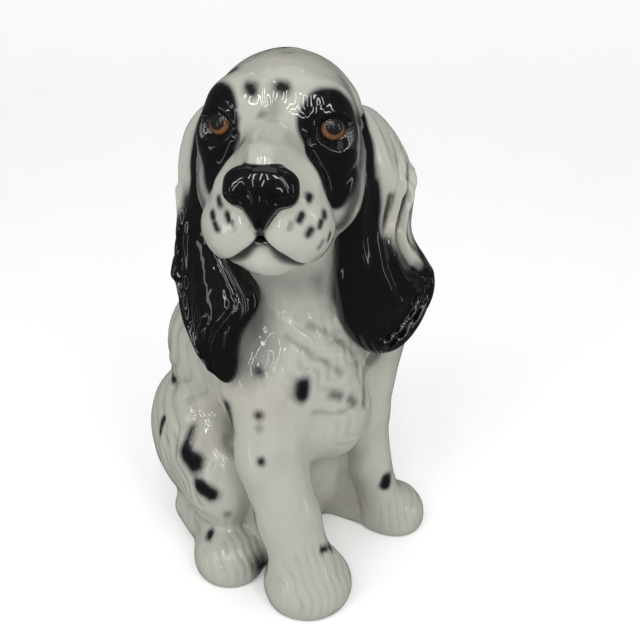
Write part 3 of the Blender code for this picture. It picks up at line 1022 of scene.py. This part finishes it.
@dataclass(frozen=True)
class Glaze(Finish):
    """Clear gloss glaze over sprayed underglaze, on off-white clay.

    The share of black comes from the piece's own paint attribute, broken up at its edges
    by the spatter of the spray. Glaze pools in the valleys, and there the colour is painted
    darker as painted shade.
    """

    white: tuple[float, float, float] = (0.395, 0.395, 0.35)
    # The colour of the painted shade in the coat's valleys.
    shade_in_valleys: tuple[float, float, float] = (0.17, 0.175, 0.148)
    blush: tuple[float, float, float] = (0.37, 0.315, 0.26)
    black: tuple[float, float, float] = (0.003, 0.003, 0.0035)
    smoke: tuple[float, float, float] = (0.09, 0.094, 0.10)

    def dress(self, tree: bpy.types.NodeTree, shader: bpy.types.Node) -> None:
        """Mixes the clay's colour with the paint's, and swells the glaze over them."""
        place = add_node(tree, "ShaderNodeTexCoord").outputs["Object"]
        painted = add_node(tree, "ShaderNodeAttribute", attribute_name="paint").outputs["Fac"]
        shade_in_valleys = add_node(tree, "ShaderNodeAttribute", attribute_name="valley_shade").outputs["Fac"]
        cloud = self.noise(tree, place, 14.0, 3.0)
        spatter = self.noise(tree, place, 900.0, 2.0)
        # Painted shade: the valleys of the coat are darkened towards that colour.
        body = mix_colours(tree, shade_in_valleys, self.white, self.shade_in_valleys)
        body = mix_colours(tree, ramp(tree, cloud, (0.5, 0.0), (0.8, 0.35)), body, self.blush)
        edge = add_node(tree, "ShaderNodeMath", operation="MULTIPLY_ADD")
        tree.links.new(spatter, edge.inputs[0])
        edge.inputs[1].default_value = 0.16
        tree.links.new(painted, edge.inputs[2])
        grain = ramp(tree, edge.outputs[0], (0.09, 0.0), (0.5, 0.5), (0.9, 1.0))
        dark = mix_colours(tree, painted, self.smoke, self.black)
        tree.links.new(mix_colours(tree, grain, body, dark), shader.inputs["Base Color"])
        set_sockets(
            shader,
            {
                "Roughness": 0.3,
                "Specular IOR Level": 0.05,
                "Coat Weight": 1.0,
                "Coat Roughness": 0.025,
                "Coat IOR": 1.46,
            },
        )
        comb = add_node(tree, "ShaderNodeMapping")
        comb.inputs["Scale"].default_value = (1.0, 1.0, 0.4)
        tree.links.new(place, comb.inputs["Vector"])
        swell = self.noise(tree, comb.outputs[0], 200.0, 0.2)
        bump = add_node(tree, "ShaderNodeBump")
        set_sockets(bump, {"Strength": 0.42, "Distance": 0.0011})
        tree.links.new(swell, bump.inputs["Height"])
        tree.links.new(bump.outputs[0], shader.inputs["Normal"])
        tree.links.new(bump.outputs[0], shader.inputs["Coat Normal"])

    @staticmethod
    def noise(tree: bpy.types.NodeTree, place: object, scale: float, detail: float) -> object:
        """A Noise texture read on the piece's own coordinates."""
        node = add_node(tree, "ShaderNodeTexNoise")
        set_sockets(node, {"Scale": scale, "Detail": detail})
        tree.links.new(place, node.inputs["Vector"])
        return node.outputs[0]


@dataclass(frozen=True)
class IrisEnamel(Finish):
    """Amber enamel with fine rays, a wide black pupil and a dark outer ring.

    The piece's gaze attribute is 0 at the middle of the pupil and 1 at the ring. Its
    rays attribute is the share of brown, which also holds painted shade from the lid at
    the iris's top.
    """

    amber: tuple[float, float, float] = (0.19, 0.08, 0.026)
    brown: tuple[float, float, float] = (0.06, 0.024, 0.008)
    black: tuple[float, float, float] = (0.004, 0.003, 0.003)

    def dress(self, tree: bpy.types.NodeTree, shader: bpy.types.Node) -> None:
        """Paints the rays between the pupil and the ring, and the painted shade of the lid at the top.
        """
        gaze = add_node(tree, "ShaderNodeAttribute", attribute_name="gaze").outputs["Fac"]
        rays = add_node(tree, "ShaderNodeAttribute", attribute_name="rays").outputs["Fac"]
        colour = mix_colours(tree, rays, self.amber, self.brown)
        ring = ramp(tree, gaze, (0.53, 1.0), (0.60, 0.0), (0.80, 0.0), (0.92, 1.0))
        tree.links.new(mix_colours(tree, ring, colour, self.black), shader.inputs["Base Color"])
        set_sockets(
            shader,
            {
                "Roughness": 0.4,
                "Specular IOR Level": 0.1,
                "Coat Weight": 1.0,
                "Coat Roughness": 0.01,
                "Coat IOR": 1.42,
            },
        )


@dataclass(frozen=True)
class ClearGlass(Finish):
    """The clear crown of a glass eye, seen through to the enamel behind it."""

    def dress(self, tree: bpy.types.NodeTree, shader: bpy.types.Node) -> None:
        """Makes the crown nearly clear, with a faint cloud in it and a bright gloss."""
        place = add_node(tree, "ShaderNodeTexCoord").outputs["Object"]
        tint = Glaze.noise(tree, place, 300.0, 1.0)
        tone = mix_colours(tree, tint, (0.10, 0.10, 0.10), (0.14, 0.14, 0.14))
        tree.links.new(tone, shader.inputs["Base Color"])
        set_sockets(
            shader, {"Alpha": 0.06, "Roughness": 0.02, "Coat Weight": 1.0, "Coat Roughness": 0.01}
        )


WHITE_GLAZE = Glaze("glazed spotted coat")
BLACK_GLAZE = Glaze("glazed black ear", smoke=(0.05, 0.052, 0.055))
IRIS_ENAMEL = IrisEnamel("amber enamel")
EYE_GLASS = ClearGlass("clear eye glass")


# ---------------------------------------------------------------- putting pieces in the scene


@dataclass
class Bench:
    """Where finished pieces are put: it knows where the clay's frame stands on the frame.

    The two iris discs of the frame fix the place, because each disc's box is centred on
    its eye's axis.
    """

    offset: Array = field(default_factory=lambda: np.zeros(3))

    def find_place(self) -> None:
        """Sets the offset, in millimetres, from the iris discs of the frame."""
        middle = np.zeros(3)
        ideal = np.zeros(3)
        for side in Side:
            low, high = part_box(f"{side.name.lower()}_eye_iris")
            middle += (np.array(low) + np.array(high)) / 4.0 / MM
            centre, axes = SOCKET.frame(side)
            ideal += HEAD_PLACE.outward(centre - SOCKET.iris_back * axes[2]) / 2.0
        self.offset = middle - ideal
        LOG.info("the clay stands at %s mm", np.round(self.offset, 2))

    def put(
        self,
        name: str,
        points: Array,
        faces: list[list[int]],
        node: str,
        finish: Finish,
        values: dict[str, Array],
    ) -> bpy.types.Object:
        """Makes a mesh of a piece and puts it on the frame.

        Args:
            name: The piece's name.
            points: Its points in the clay's frame, in millimetres.
            faces: Its faces, as lists of point numbers.
            node: The frame's node that it stands for.
            finish: Its finish.
            values: Numbers for each point, by attribute name.

        Returns:
            The finished object.
        """
        mesh = bpy.data.meshes.new(name)
        mesh.from_pydata((points + self.offset) * MM, [], faces)
        for key, numbers in values.items():
            layer = mesh.attributes.new(key, "FLOAT", "POINT")
            layer.data.foreach_set("value", np.asarray(numbers, np.float32))
        mesh.materials.append(finish.material())
        mesh.shade_smooth()
        mesh.update()
        thing = bpy.data.objects.new(name, mesh)
        bpy.context.scene.collection.objects.link(thing)
        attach(thing, "root")
        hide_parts(node)
        triangles = sum(len(face) - 2 for face in faces)
        LOG.info("%s: %d triangles for %s", name, triangles, node)
        return thing


@dataclass(frozen=True)
class CoatedPiece:
    """A cast piece of the dog: its skin on the clay, its tooled coat and its paint."""

    name: str
    node: str
    skin: Skin

    def build(self, bench: Bench) -> bpy.types.Object:
        """Makes the piece.

        Args:
            bench: Where the finished piece is put.

        Returns:
            The finished object.
        """
        core = self.skin.core
        bare = self.skin.points()
        height = coat_height(bare, self.skin.own)
        points = bare + CLAY.normals(bare) * height[:, None]
        points[:, 2] = np.maximum(points[:, 2], 0.0)
        # Painted shade: the deeper a valley of the coat, the darker it is painted.
        values = np.stack([paint(bare, self.skin.own), np.clip(-0.55 * height, 0.0, 1.0)], 1)
        black, valley_shade = drawn_in(values, core.rows, core.columns).T
        return bench.put(
            self.name,
            drawn_in(points, core.rows, core.columns),
            closed_faces(core.rows, core.columns),
            self.node,
            WHITE_GLAZE,
            {"paint": black, "valley_shade": valley_shade},
        )


def spotted(
    node: str,
    stations: tuple[tuple[float, float, float], ...],
    grid: tuple[int, int],
    fans: tuple[float, float],
    sideways: tuple[float, float, float] = (1.0, 0.0, 0.0),
) -> CoatedPiece:
    """A cast piece of the spotted coat that is named after its node.

    Args:
        node: The frame's node, which is also the piece's part in the clay.
        stations: The places that its core runs through.
        grid: How many rows and columns its skin has.
        fans: The shares of the rows that fan over its two ends.
        sideways: A way across the core, where the columns start.

    Returns:
        The piece, not yet built.
    """
    return CoatedPiece(f"spotted_{node}", node, Skin(node, Core(stations, *grid, *fans, sideways)))


def on_head(*places: tuple[float, float, float]) -> tuple[tuple[float, ...], ...]:
    """Places in the head's frame, as seen on the dog."""
    return tuple(map(tuple, HEAD_PLACE.outward(places)))


HEAD_SIDEWAYS = tuple(HEAD_PLACE.matrix()[:, 0])
NOSE_CORE = Core(
    on_head((0, -82, -12), (0, -83, -17), (0, -83, -26)), 150, 220, 0.3, 0.3, HEAD_SIDEWAYS
)
COATED_PIECES = (
    spotted(
        "torso",
        ((0, 26, 16), (0, 26, 60), (0, 18, 110), (-2, -2, 170), (-6, -12, 226)),
        (300, 300),
        (0.16, 0.05),
    ),
    spotted(
        "head",
        on_head((0, 6, -4), (0, -20, -10), (0, -56, -28)),
        (330, 300),
        (0.2, 0.34),
        HEAD_SIDEWAYS,
    ),
    CoatedPiece("black_nose", "head", Skin("nose", NOSE_CORE, reach=1.0, dive=0.0)),
    spotted(
        "right_foreleg",
        ((-38, -36, 128), (-38, -54, 90), (-35, -69, 55), (-32, -78, 30), (-29, -83, 11)),
        (240, 200),
        (0.08, 0.16),
    ),
    spotted(
        "left_foreleg",
        ((45, -26, 134), (42, -37, 92), (42, -46, 55), (50, -47, 30), (60, -47, 10)),
        (200, 160),
        (0.08, 0.16),
    ),
    spotted(
        "right_hind_leg",
        ((-56, 38, 86), (-58, 20, 56), (-60, -6, 30), (-61, -34, 11)),
        (220, 200),
        (0.25, 0.2),
    ),
    spotted(
        "left_hind_leg",
        ((54, 38, 84), (56, 20, 54), (57, 2, 28), (58, -2, 11)),
        (200, 180),
        (0.25, 0.2),
    ),
    spotted(
        "tail",
        ((0, 84, 30), (-12, 102, 19), (-28, 108, 13)),
        (90, 90),
        (0.2, 0.3),
        (0.0, 0.0, 1.0),
    ),
)


# ---------------------------------------------------------------- the ears


@dataclass(frozen=True)
class Strand:
    """One lock of an ear's coat: a rounded ridge, or with a height below 0 a valley.

    Its line runs through places given as (down, over): down is 0 at the ear's top and 1
    at its tip, over is -1 at its front edge and 1 at its back edge.
    """

    line: tuple[tuple[float, float], ...]
    width: float
    height: float

    def lift(self, down: Array, over: Array) -> Array:
        """How far the lock stands proud at each place: a bell across its line."""
        scale = np.array([150.0, 26.0])
        places = np.stack([down.ravel(), over.ravel()], 1) * scale
        line = curve_through(np.array(self.line) * scale, np.linspace(0.0, 1.0, 14))
        near, away = near_line(places, line, 3.0 * self.width)
        height = np.zeros(len(places))
        height[near] = self.height * np.exp(-((away / self.width) ** 2))
        return height.reshape(down.shape)


@dataclass(frozen=True)
class Ear:
    """A long ear: a flat lobe that hangs and turns, with wavy locks on its outer face.

    Its section is a flattened round. Each station is the middle of a section, its half
    width, its half thickness and its turn, and each push moves the back edge out where
    the ear swells, or in where it has a waist.
    """

    side: Side
    stations: tuple[tuple[float, float, float, float, float, float], ...]
    strands: tuple[Strand, ...]
    pushes: tuple[tuple[float, float, float], ...]
    white_from: tuple[float, float]
    white_to: float
    rows: int = 340
    columns: int = 280

    def build(self, bench: Bench) -> bpy.types.Object:
        """Makes the ear.

        Args:
            bench: Where the finished ear is put.

        Returns:
            The finished object.
        """
        u = np.linspace(0.0, 1.0, self.rows)
        eased = u - 0.11 * np.sin(math.tau * u)
        rows = curve_through(np.array(self.stations, float), eased)
        place, width, thick, turn = rows[:, :3], rows[:, 3], rows[:, 4], np.radians(rows[:, 5])
        taper = np.sqrt(np.clip(1.0 - (2.0 * eased - 1.0) ** 14, 0.0, 1.0))
        across = np.stack([np.cos(turn), np.sin(turn), 0 * turn], 1) * [self.side.value, 1, 1]
        outward = np.stack([-across[:, 1], across[:, 0], 0 * turn], 1) * -self.side.value
        angle = np.arange(self.columns) / self.columns * math.tau
        s = np.sign(np.cos(angle)) * np.abs(np.cos(angle)) ** 0.9
        bulge = np.sign(np.sin(angle)) * np.abs(np.sin(angle)) ** 0.85
        down, over = np.meshgrid(eased, s, indexing="ij")
        face = np.broadcast_to(smooth_step(bulge, -0.25, 0.4), down.shape)
        height = self.relief(down, over) * face * taper[:, None]
        push = sum(rise * np.exp(-(((eased - at) / reach) ** 2)) for at, reach, rise in self.pushes)
        wide = (width * taper)[:, None] * over + (push * taper)[:, None] * np.clip(over, 0, 1) ** 2
        proud = (thick * taper)[:, None] * bulge[None] + height
        points = place[:, None] + across[:, None] * wide[..., None]
        points = points + outward[:, None] * proud[..., None]
        points = EAR_PLACE.outward(points.reshape(-1, 3))
        # Painted shade: the deeper a valley between the locks, the darker it is painted.
        values = np.stack([self.paint(down, over, height, points), np.clip(-0.4 * height, 0, 1)], -1)
        black, valley_shade = drawn_in(values, self.rows, self.columns).T
        word = self.side.name.lower()
        return bench.put(
            f"wavy_{word}_ear",
            drawn_in(points, self.rows, self.columns),
            closed_faces(self.rows, self.columns, flip=self.side is Side.RIGHT),
            f"{word}_ear",
            BLACK_GLAZE,
            {"paint": black, "valley_shade": valley_shade},
        )

    def relief(self, down: Array, over: Array) -> Array:
        """The ear's locks, and a fine comb that follows them down its edges.

        Args:
            down: How far down the ear each place is, from 0 to 1.
            over: How far across it, from -1 at the front edge to 1 at the back.

        Returns:
            How far each place stands proud, in millimetres.
        """
        height = sum(strand.lift(down, over) for strand in self.strands)
        drift = 0.5 * np.sin(math.tau * (1.3 * down + 0.1)) + 0.2 * np.sin(11 * down + 2)
        comb = np.abs(np.sin(math.pi * (4.6 * over + 2.2 * drift))) - 0.6
        edge = np.maximum(smooth_step(over, 0.1, 0.6), smooth_step(down, 0.7, 0.9))
        edge = np.maximum(edge, smooth_step(over, -0.5, -0.9))
        return 1.25 * height + 1.0 * comb * edge * smooth_step(down, 0.12, 0.3)

    def paint(self, down: Array, over: Array, height: Array, points: Array) -> Array:
        """How much black each place takes: white high on the back edge, black elsewhere.

        Args:
            down: How far down the ear each place is, from 0 to 1.
            over: How far across it, from -1 at the front edge to 1 at the back.
            height: How far the locks stand proud there. The valleys of the white are painted grey, as
                painted shade.
            points: The places themselves, row by row.

        Returns:
            The share of black, from 0 to 1, shaped as down.
        """
        rough = ripple(points, 21.0, 1.5).reshape(down.shape)
        start, slope = self.white_from
        back = smooth_step(over - start - slope * down + 0.07 * rough, -0.10, 0.14)
        limit = self.white_to + 0.11 * np.exp(-(((over - 0.55) / 0.28) ** 2)) + 0.02 * rough
        low = smooth_step(down, limit + 0.05, limit - 0.07)
        rim = smooth_step(over, 0.78, 0.96) * smooth_step(down, 0.30, 0.42)
        # Painted shade: the valleys of the white lobe turn grey, more so lower down the ear.
        grey = 0.75 * smooth_step(down, 0.14, 0.42) * smooth_step(height, 0.4, -1.4)
        return 1.0 - low * back * (1.0 - rim) * (1.0 - grey)


EARS = (
    Ear(
        Side.LEFT,
        (
            (42, 6, 20, 12, 7, 66),
            (48, 0, 0, 24, 9, 58),
            (52, -2, -25, 30, 10, 48),
            (54, -3, -55, 30, 10, 43),
            (59, -6, -82, 33, 12, 38),
            (60, -7, -106, 29, 12, 34),
            (60, -7, -130, 14, 9, 30),
        ),
        (
            Strand(((0.06, -0.15), (0.15, -0.02), (0.25, 0.12), (0.34, 0.45)), 4.0, 1.6),
            Strand(((0.3, 0.95), (0.4, 0.62), (0.48, 0.42), (0.55, 0.5), (0.64, 0.82)), 2.8, 2.6),
            Strand(((0.28, 0.8), (0.39, 0.47), (0.48, 0.25), (0.57, 0.3), (0.66, 0.6)), 1.8, -1.6),
            Strand(((0.24, 0.62), (0.37, 0.3), (0.48, 0.08), (0.59, 0.1), (0.7, 0.42)), 2.6, 2.0),
            Strand(((0.36, 0.1), (0.48, -0.1), (0.6, -0.12), (0.7, 0.05)), 2.2, -1.3),
            Strand(((0.2, 0.85), (0.3, 0.66), (0.4, 0.5), (0.47, 0.36)), 1.2, -1.5),
            Strand(((0.14, 0.5), (0.26, 0.42), (0.36, 0.22), (0.44, 0.1)), 1.2, -1.3),
            Strand(((0.33, 1.0), (0.42, 0.8), (0.49, 0.62), (0.56, 0.7)), 1.2, -1.4),
            Strand(((0.57, -0.3), (0.7, -0.05)), 13.0, 3.6),
            Strand(((0.3, -0.6), (0.5, -0.7), (0.66, -0.6)), 3.6, 1.6),
            Strand(((0.66, 0.97), (0.77, 0.84), (0.87, 0.55), (0.95, 0.15)), 2.4, 2.0),
            Strand(((0.68, 0.84), (0.78, 0.66), (0.87, 0.33), (0.94, 0.0)), 1.5, -1.5),
            Strand(((0.7, 0.72), (0.79, 0.5), (0.87, 0.15), (0.93, -0.2)), 2.2, 1.7),
            Strand(((0.73, 0.52), (0.81, 0.3), (0.88, -0.05), (0.92, -0.35)), 1.4, -1.3),
            Strand(((0.76, 0.34), (0.83, 0.1), (0.88, -0.3)), 2.0, 1.3),
        ),
        ((0.22, 0.10, 2.0), (0.50, 0.09, -5.0), (0.70, 0.12, 2.0)),
        (-0.46, 0.72),
        0.52,
    ),
    Ear(
        Side.RIGHT,
        (
            (-42, 6, 20, 12, 7, 66),
            (-49, 5, 0, 19, 9, 56),
            (-51, 1, -26, 22, 10, 48),
            (-47, -9, -55, 25, 11, 40),
            (-38, -24, -84, 30, 13, 32),
            (-39, -38, -106, 20, 11, 38),
            (-30, -50, -133, 8, 7, 46),
        ),
        (
            Strand(((0.05, 0.1), (0.15, 0.3), (0.3, 0.4)), 5.0, 1.4),
            Strand(((0.36, 0.5), (0.45, 0.4), (0.54, 0.62), (0.64, 0.88)), 2.8, 2.4),
            Strand(((0.42, 0.2), (0.52, 0.38), (0.62, 0.62), (0.72, 0.8)), 1.8, -1.6),
            Strand(((0.45, 0.0), (0.55, 0.18), (0.66, 0.5), (0.78, 0.6), (0.9, 0.4)), 2.6, 2.0),
            Strand(((0.52, -0.1), (0.66, -0.05)), 13.0, 3.4),
            Strand(((0.6, 0.95), (0.72, 0.86), (0.84, 0.72), (0.95, 0.4)), 2.3, 2.0),
            Strand(((0.66, 0.8), (0.78, 0.74), (0.88, 0.58), (0.96, 0.25)), 1.4, -1.4),
            Strand(((0.72, 0.2), (0.82, 0.28), (0.92, 0.18)), 1.8, -1.3),
            Strand(((0.74, -0.1), (0.84, 0.02), (0.95, 0.0)), 2.4, 1.5),
            Strand(((0.76, -0.4), (0.86, -0.25), (0.96, -0.2)), 1.6, -1.2),
            Strand(((0.7, -0.7), (0.82, -0.55), (0.93, -0.4)), 2.2, 1.3),
        ),
        ((0.17, 0.10, 2.0), (0.38, 0.08, -4.0), (0.62, 0.10, 2.0)),
        (-0.35, 0.5),
        0.36,
    ),
)


# ---------------------------------------------------------------- the eyes


@dataclass(frozen=True)
class GlassEye:
    """One eye: a clear crown over an enamelled iris, looking a little upwards."""

    side: Side
    rows: int = 70
    columns: int = 96
    gaze_up: float = 11.0
    turn: float = 100.0
    iris_angle: float = 58.0
    crown_thickness: float = 0.35

    def dome(self, radius: float, turn: float) -> Array:
        """Half a ball on the eye's axis, as a grid from its crown to just past its rim."""
        centre, axes = SOCKET.frame(self.side)
        lean = np.linspace(0.0, math.radians(turn), self.rows)
        around = np.arange(self.columns) / self.columns * math.tau
        x = np.sin(lean)[:, None] * np.cos(around)[None]
        y = np.sin(lean)[:, None] * np.sin(around)[None]
        z = np.repeat(np.cos(lean)[:, None], self.columns, axis=1)
        ball = np.stack([x, y, z], -1).reshape(-1, 3) * radius
        return HEAD_PLACE.outward(ball @ axes + centre)

    def build(self, bench: Bench) -> list[bpy.types.Object]:
        """Makes the crown and the iris.

        Args:
            bench: Where the finished pieces are put.

        Returns:
            The two finished objects.
        """
        word = self.side.name.lower()
        grid = (self.rows, self.columns)
        faces = closed_faces(*grid, flip=self.side is Side.LEFT)
        crown = drawn_in(self.dome(SOCKET.radius, self.turn), *grid)
        iris = drawn_in(self.dome(SOCKET.radius - self.crown_thickness, self.turn), *grid)
        gaze, rays = self.enamel(iris).T
        return [
            bench.put(
                f"{word}_eye_crown",
                crown,
                faces,
                f"{word}_eye_glass",
                EYE_GLASS,
                {},
            ),
            bench.put(
                f"{word}_eye_enamel",
                iris,
                faces,
                f"{word}_eye_iris",
                IRIS_ENAMEL,
                {"gaze": gaze, "rays": rays},
            ),
        ]

    def enamel(self, points: Array) -> Array:
        """How far each place is from where the eye looks, and how brown it is there.

        The first is the angle from the look's own line over the iris's. The second is two
        sines of the angle round the eye, and more towards the eye's top, which is painted shade
        from the upper lid.

        Args:
            points: Places on the dog.

        Returns:
            One row of the two numbers for each place.
        """
        centre, axes = SOCKET.frame(self.side)
        tip = math.radians(self.gaze_up)
        look = axes[2] * math.cos(tip) + axes[1] * math.sin(tip)
        local = HEAD_PLACE.inward(points) - centre
        local = local / (SOCKET.radius - self.crown_thickness)
        gaze = np.degrees(np.arccos(np.clip(local @ look, -1.0, 1.0))) / self.iris_angle
        spin = np.arctan2(local @ axes[1], local @ axes[0])
        rays = 0.4 + 0.2 * np.sin(37 * spin + 3 * gaze) + 0.1 * np.sin(61 * spin - 2)
        # Painted shade: the iris is browner towards its top, where the upper lid shades it.
        return np.stack([gaze, np.clip(rays + 2.0 * local @ axes[1], 0.0, 1.0)], 1)


# ---------------------------------------------------------------- the studio


@dataclass(frozen=True)
class FloorPaint(Finish):
    """Matt pale paint that glows a little."""

    def dress(self, tree: bpy.types.NodeTree, shader: bpy.types.Node) -> None:
        """Sets the paint's plain values."""
        set_sockets(
            shader,
            {
                "Base Color": (0.90, 0.90, 0.90, 1.0),
                "Roughness": 0.8,
                "Specular IOR Level": 0.1,
                "Emission Color": (1.0, 1.0, 1.0, 1.0),
                "Emission Strength": 0.18,
            },
        )


PALE_FLOOR = FloorPaint("pale floor")


@dataclass(frozen=True)
class Studio:
    """A pale round floor, a soft room, rows of tubes, and the camera.

    The camera's distance and aim are in millimetres, and the floor's sizes in metres.
    """

    azimuth: float = -30.0
    elevation: float = 25.5
    distance: float = 601.0
    aim_sideways: float = 24.2
    aim_height: float = 154.3
    lens: float = 51.47
    flat: float = 1.6
    bend: float = 0.7
    wall: float = 3.2

    def directions(self) -> tuple[Array, Array]:
        """The way back towards the camera, and the camera's right."""
        turn, tip = math.radians(self.azimuth), math.radians(self.elevation)
        back = [math.sin(turn) * math.cos(tip), -math.cos(turn) * math.cos(tip), math.sin(tip)]
        return np.array(back), np.array([math.cos(turn), math.sin(turn), 0.0])

    def look_at(self, thing: bpy.types.Object, place: Array, target: Array) -> None:
        """Puts a camera or a light at a place, pointing at a target, both in metres."""
        thing.location = Vector(place)
        way = Vector(target) - Vector(place)
        thing.rotation_euler = way.to_track_quat("-Z", "Y").to_euler()
        bpy.context.scene.collection.objects.link(thing)

    def add_camera(self, bench: Bench) -> None:
        """Adds the camera and makes it the scene's own."""
        back, right = self.directions()
        target = right * self.aim_sideways + np.array([0.0, 0.0, self.aim_height])
        target = (target + bench.offset) * MM
        data = bpy.data.cameras.new("studio camera")
        data.sensor_width = 36.0
        data.lens = self.lens
        data.clip_start = 0.01
        camera = bpy.data.objects.new("studio camera", data)
        self.look_at(camera, target + back * self.distance * MM, target)
        bpy.context.scene.camera = camera

    def add_light(
        self,
        name: str,
        place: Array,
        size: tuple[float, float],
        power: float,
        target: tuple[float, float, float] = (0.0, 0.0, 0.16),
    ) -> None:
        """Adds a rectangle of light that faces its target, which is the dog unless given."""
        data = bpy.data.lights.new(name, "AREA")
        data.shape = "RECTANGLE"
        data.size, data.size_y = size
        data.energy = power
        light = bpy.data.objects.new(name, data)
        self.look_at(light, place, np.array(target))

    def add_floor(self) -> None:
        """Adds the floor: a wide round cove that sweeps up on every side of the dog.

        Its height is 0 out to the flat's radius, then the arc of a wide circle, then it
        climbs straight up. That line is turned all the way round the dog.
        """
        lean = np.linspace(0.0, math.pi / 2, 13)
        run = self.flat + self.bend * np.sin(lean)
        run = np.concatenate([[0.02], run, [self.flat + self.bend]])
        climb = np.concatenate([[0.0], self.bend * (1.0 - np.cos(lean)), [self.wall]])
        around = 96
        angle = np.arange(around) / around * math.tau
        across = run[:, None] * np.stack([np.cos(angle), np.sin(angle)])[:, None]
        points = np.stack([*across, np.repeat(climb[:, None], around, axis=1)], -1)
        column = np.arange(around)
        after = (column + 1) % around
        row = np.arange(len(run) - 1)[:, None] * around
        quads = [row + column, row + after, row + around + after, row + around + column]
        faces = np.stack(quads).reshape(4, -1).T[:, ::-1].tolist() + [column.tolist()]
        points = points.reshape(-1, 3)
        mesh = bpy.data.meshes.new("studio floor")
        mesh.from_pydata(points, [], faces)
        mesh.shade_smooth()
        mesh.materials.append(PALE_FLOOR.material())
        floor = bpy.data.objects.new("studio floor", mesh)
        bpy.context.scene.collection.objects.link(floor)
        floor.visible_glossy = False

    def add_room(self) -> None:
        """Adds the soft light that comes from all round."""
        world = bpy.data.worlds.new("soft room")
        bpy.context.scene.world = world
        world.use_nodes = True
        sky = world.node_tree.nodes["Background"]
        sky.inputs["Color"].default_value = (1.0, 1.0, 1.0, 1.0)
        sky.inputs["Strength"].default_value = 0.11

    def build(self, bench: Bench) -> None:
        """Adds the floor, the room, the lights and the camera."""
        self.add_floor()
        self.add_room()
        self.add_camera(bench)
        back, right = self.directions()
        front = np.array([back[0], back[1], 0.0])
        up = np.array([0.0, 0.0, 1.0])
        for i in range(6):
            place = 0.85 * front + right * (0.25 * (i - 2.7)) + 1.1 * up
            self.add_light(f"tube {i + 1}", place, (0.05, 0.6), 1.4)
        self.add_light("top box", 1.5 * up - 0.1 * front, (0.7, 0.7), 1.3)
        for way, power in ((-front, 8.0), (front, 1.0), (right, 1.0), (-right, 1.0)):
            place = 1.9 * up + 0.9 * way
            self.add_light("wall wash", place, (2.4, 0.3), power, tuple(2.3 * way + 0.9 * up))
        for i in range(3):
            place = 1.0 * front + right * (0.5 * (i - 1.1)) + 0.62 * up
            self.add_light(f"low tube {i + 1}", place, (0.035, 0.35), 0.45)
        self.add_light("left card", 0.9 * front - 1.1 * right + 0.4 * up, (0.12, 0.8), 1.0)
        self.add_light("right card", 0.4 * front + 1.2 * right + 0.5 * up, (0.12, 0.8), 1.0)


# ---------------------------------------------------------------- all together


def main() -> None:
    """Loads the frame, and builds the dog and the studio round it."""
    logging.basicConfig(level=logging.INFO, format="%(name)s: %(message)s")
    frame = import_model()
    LOG.info("the frame has %d nodes", len(frame["nodes"]))
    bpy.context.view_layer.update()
    bench = Bench()
    bench.find_place()
    for piece in COATED_PIECES:
        piece.build(bench)
    for ear in EARS:
        ear.build(bench)
    for side in Side:
        GlassEye(side).build(bench)
    Studio().build(bench)
    bpy.context.scene.view_settings.view_transform = "Standard"


if __name__ == "__main__":
    main()
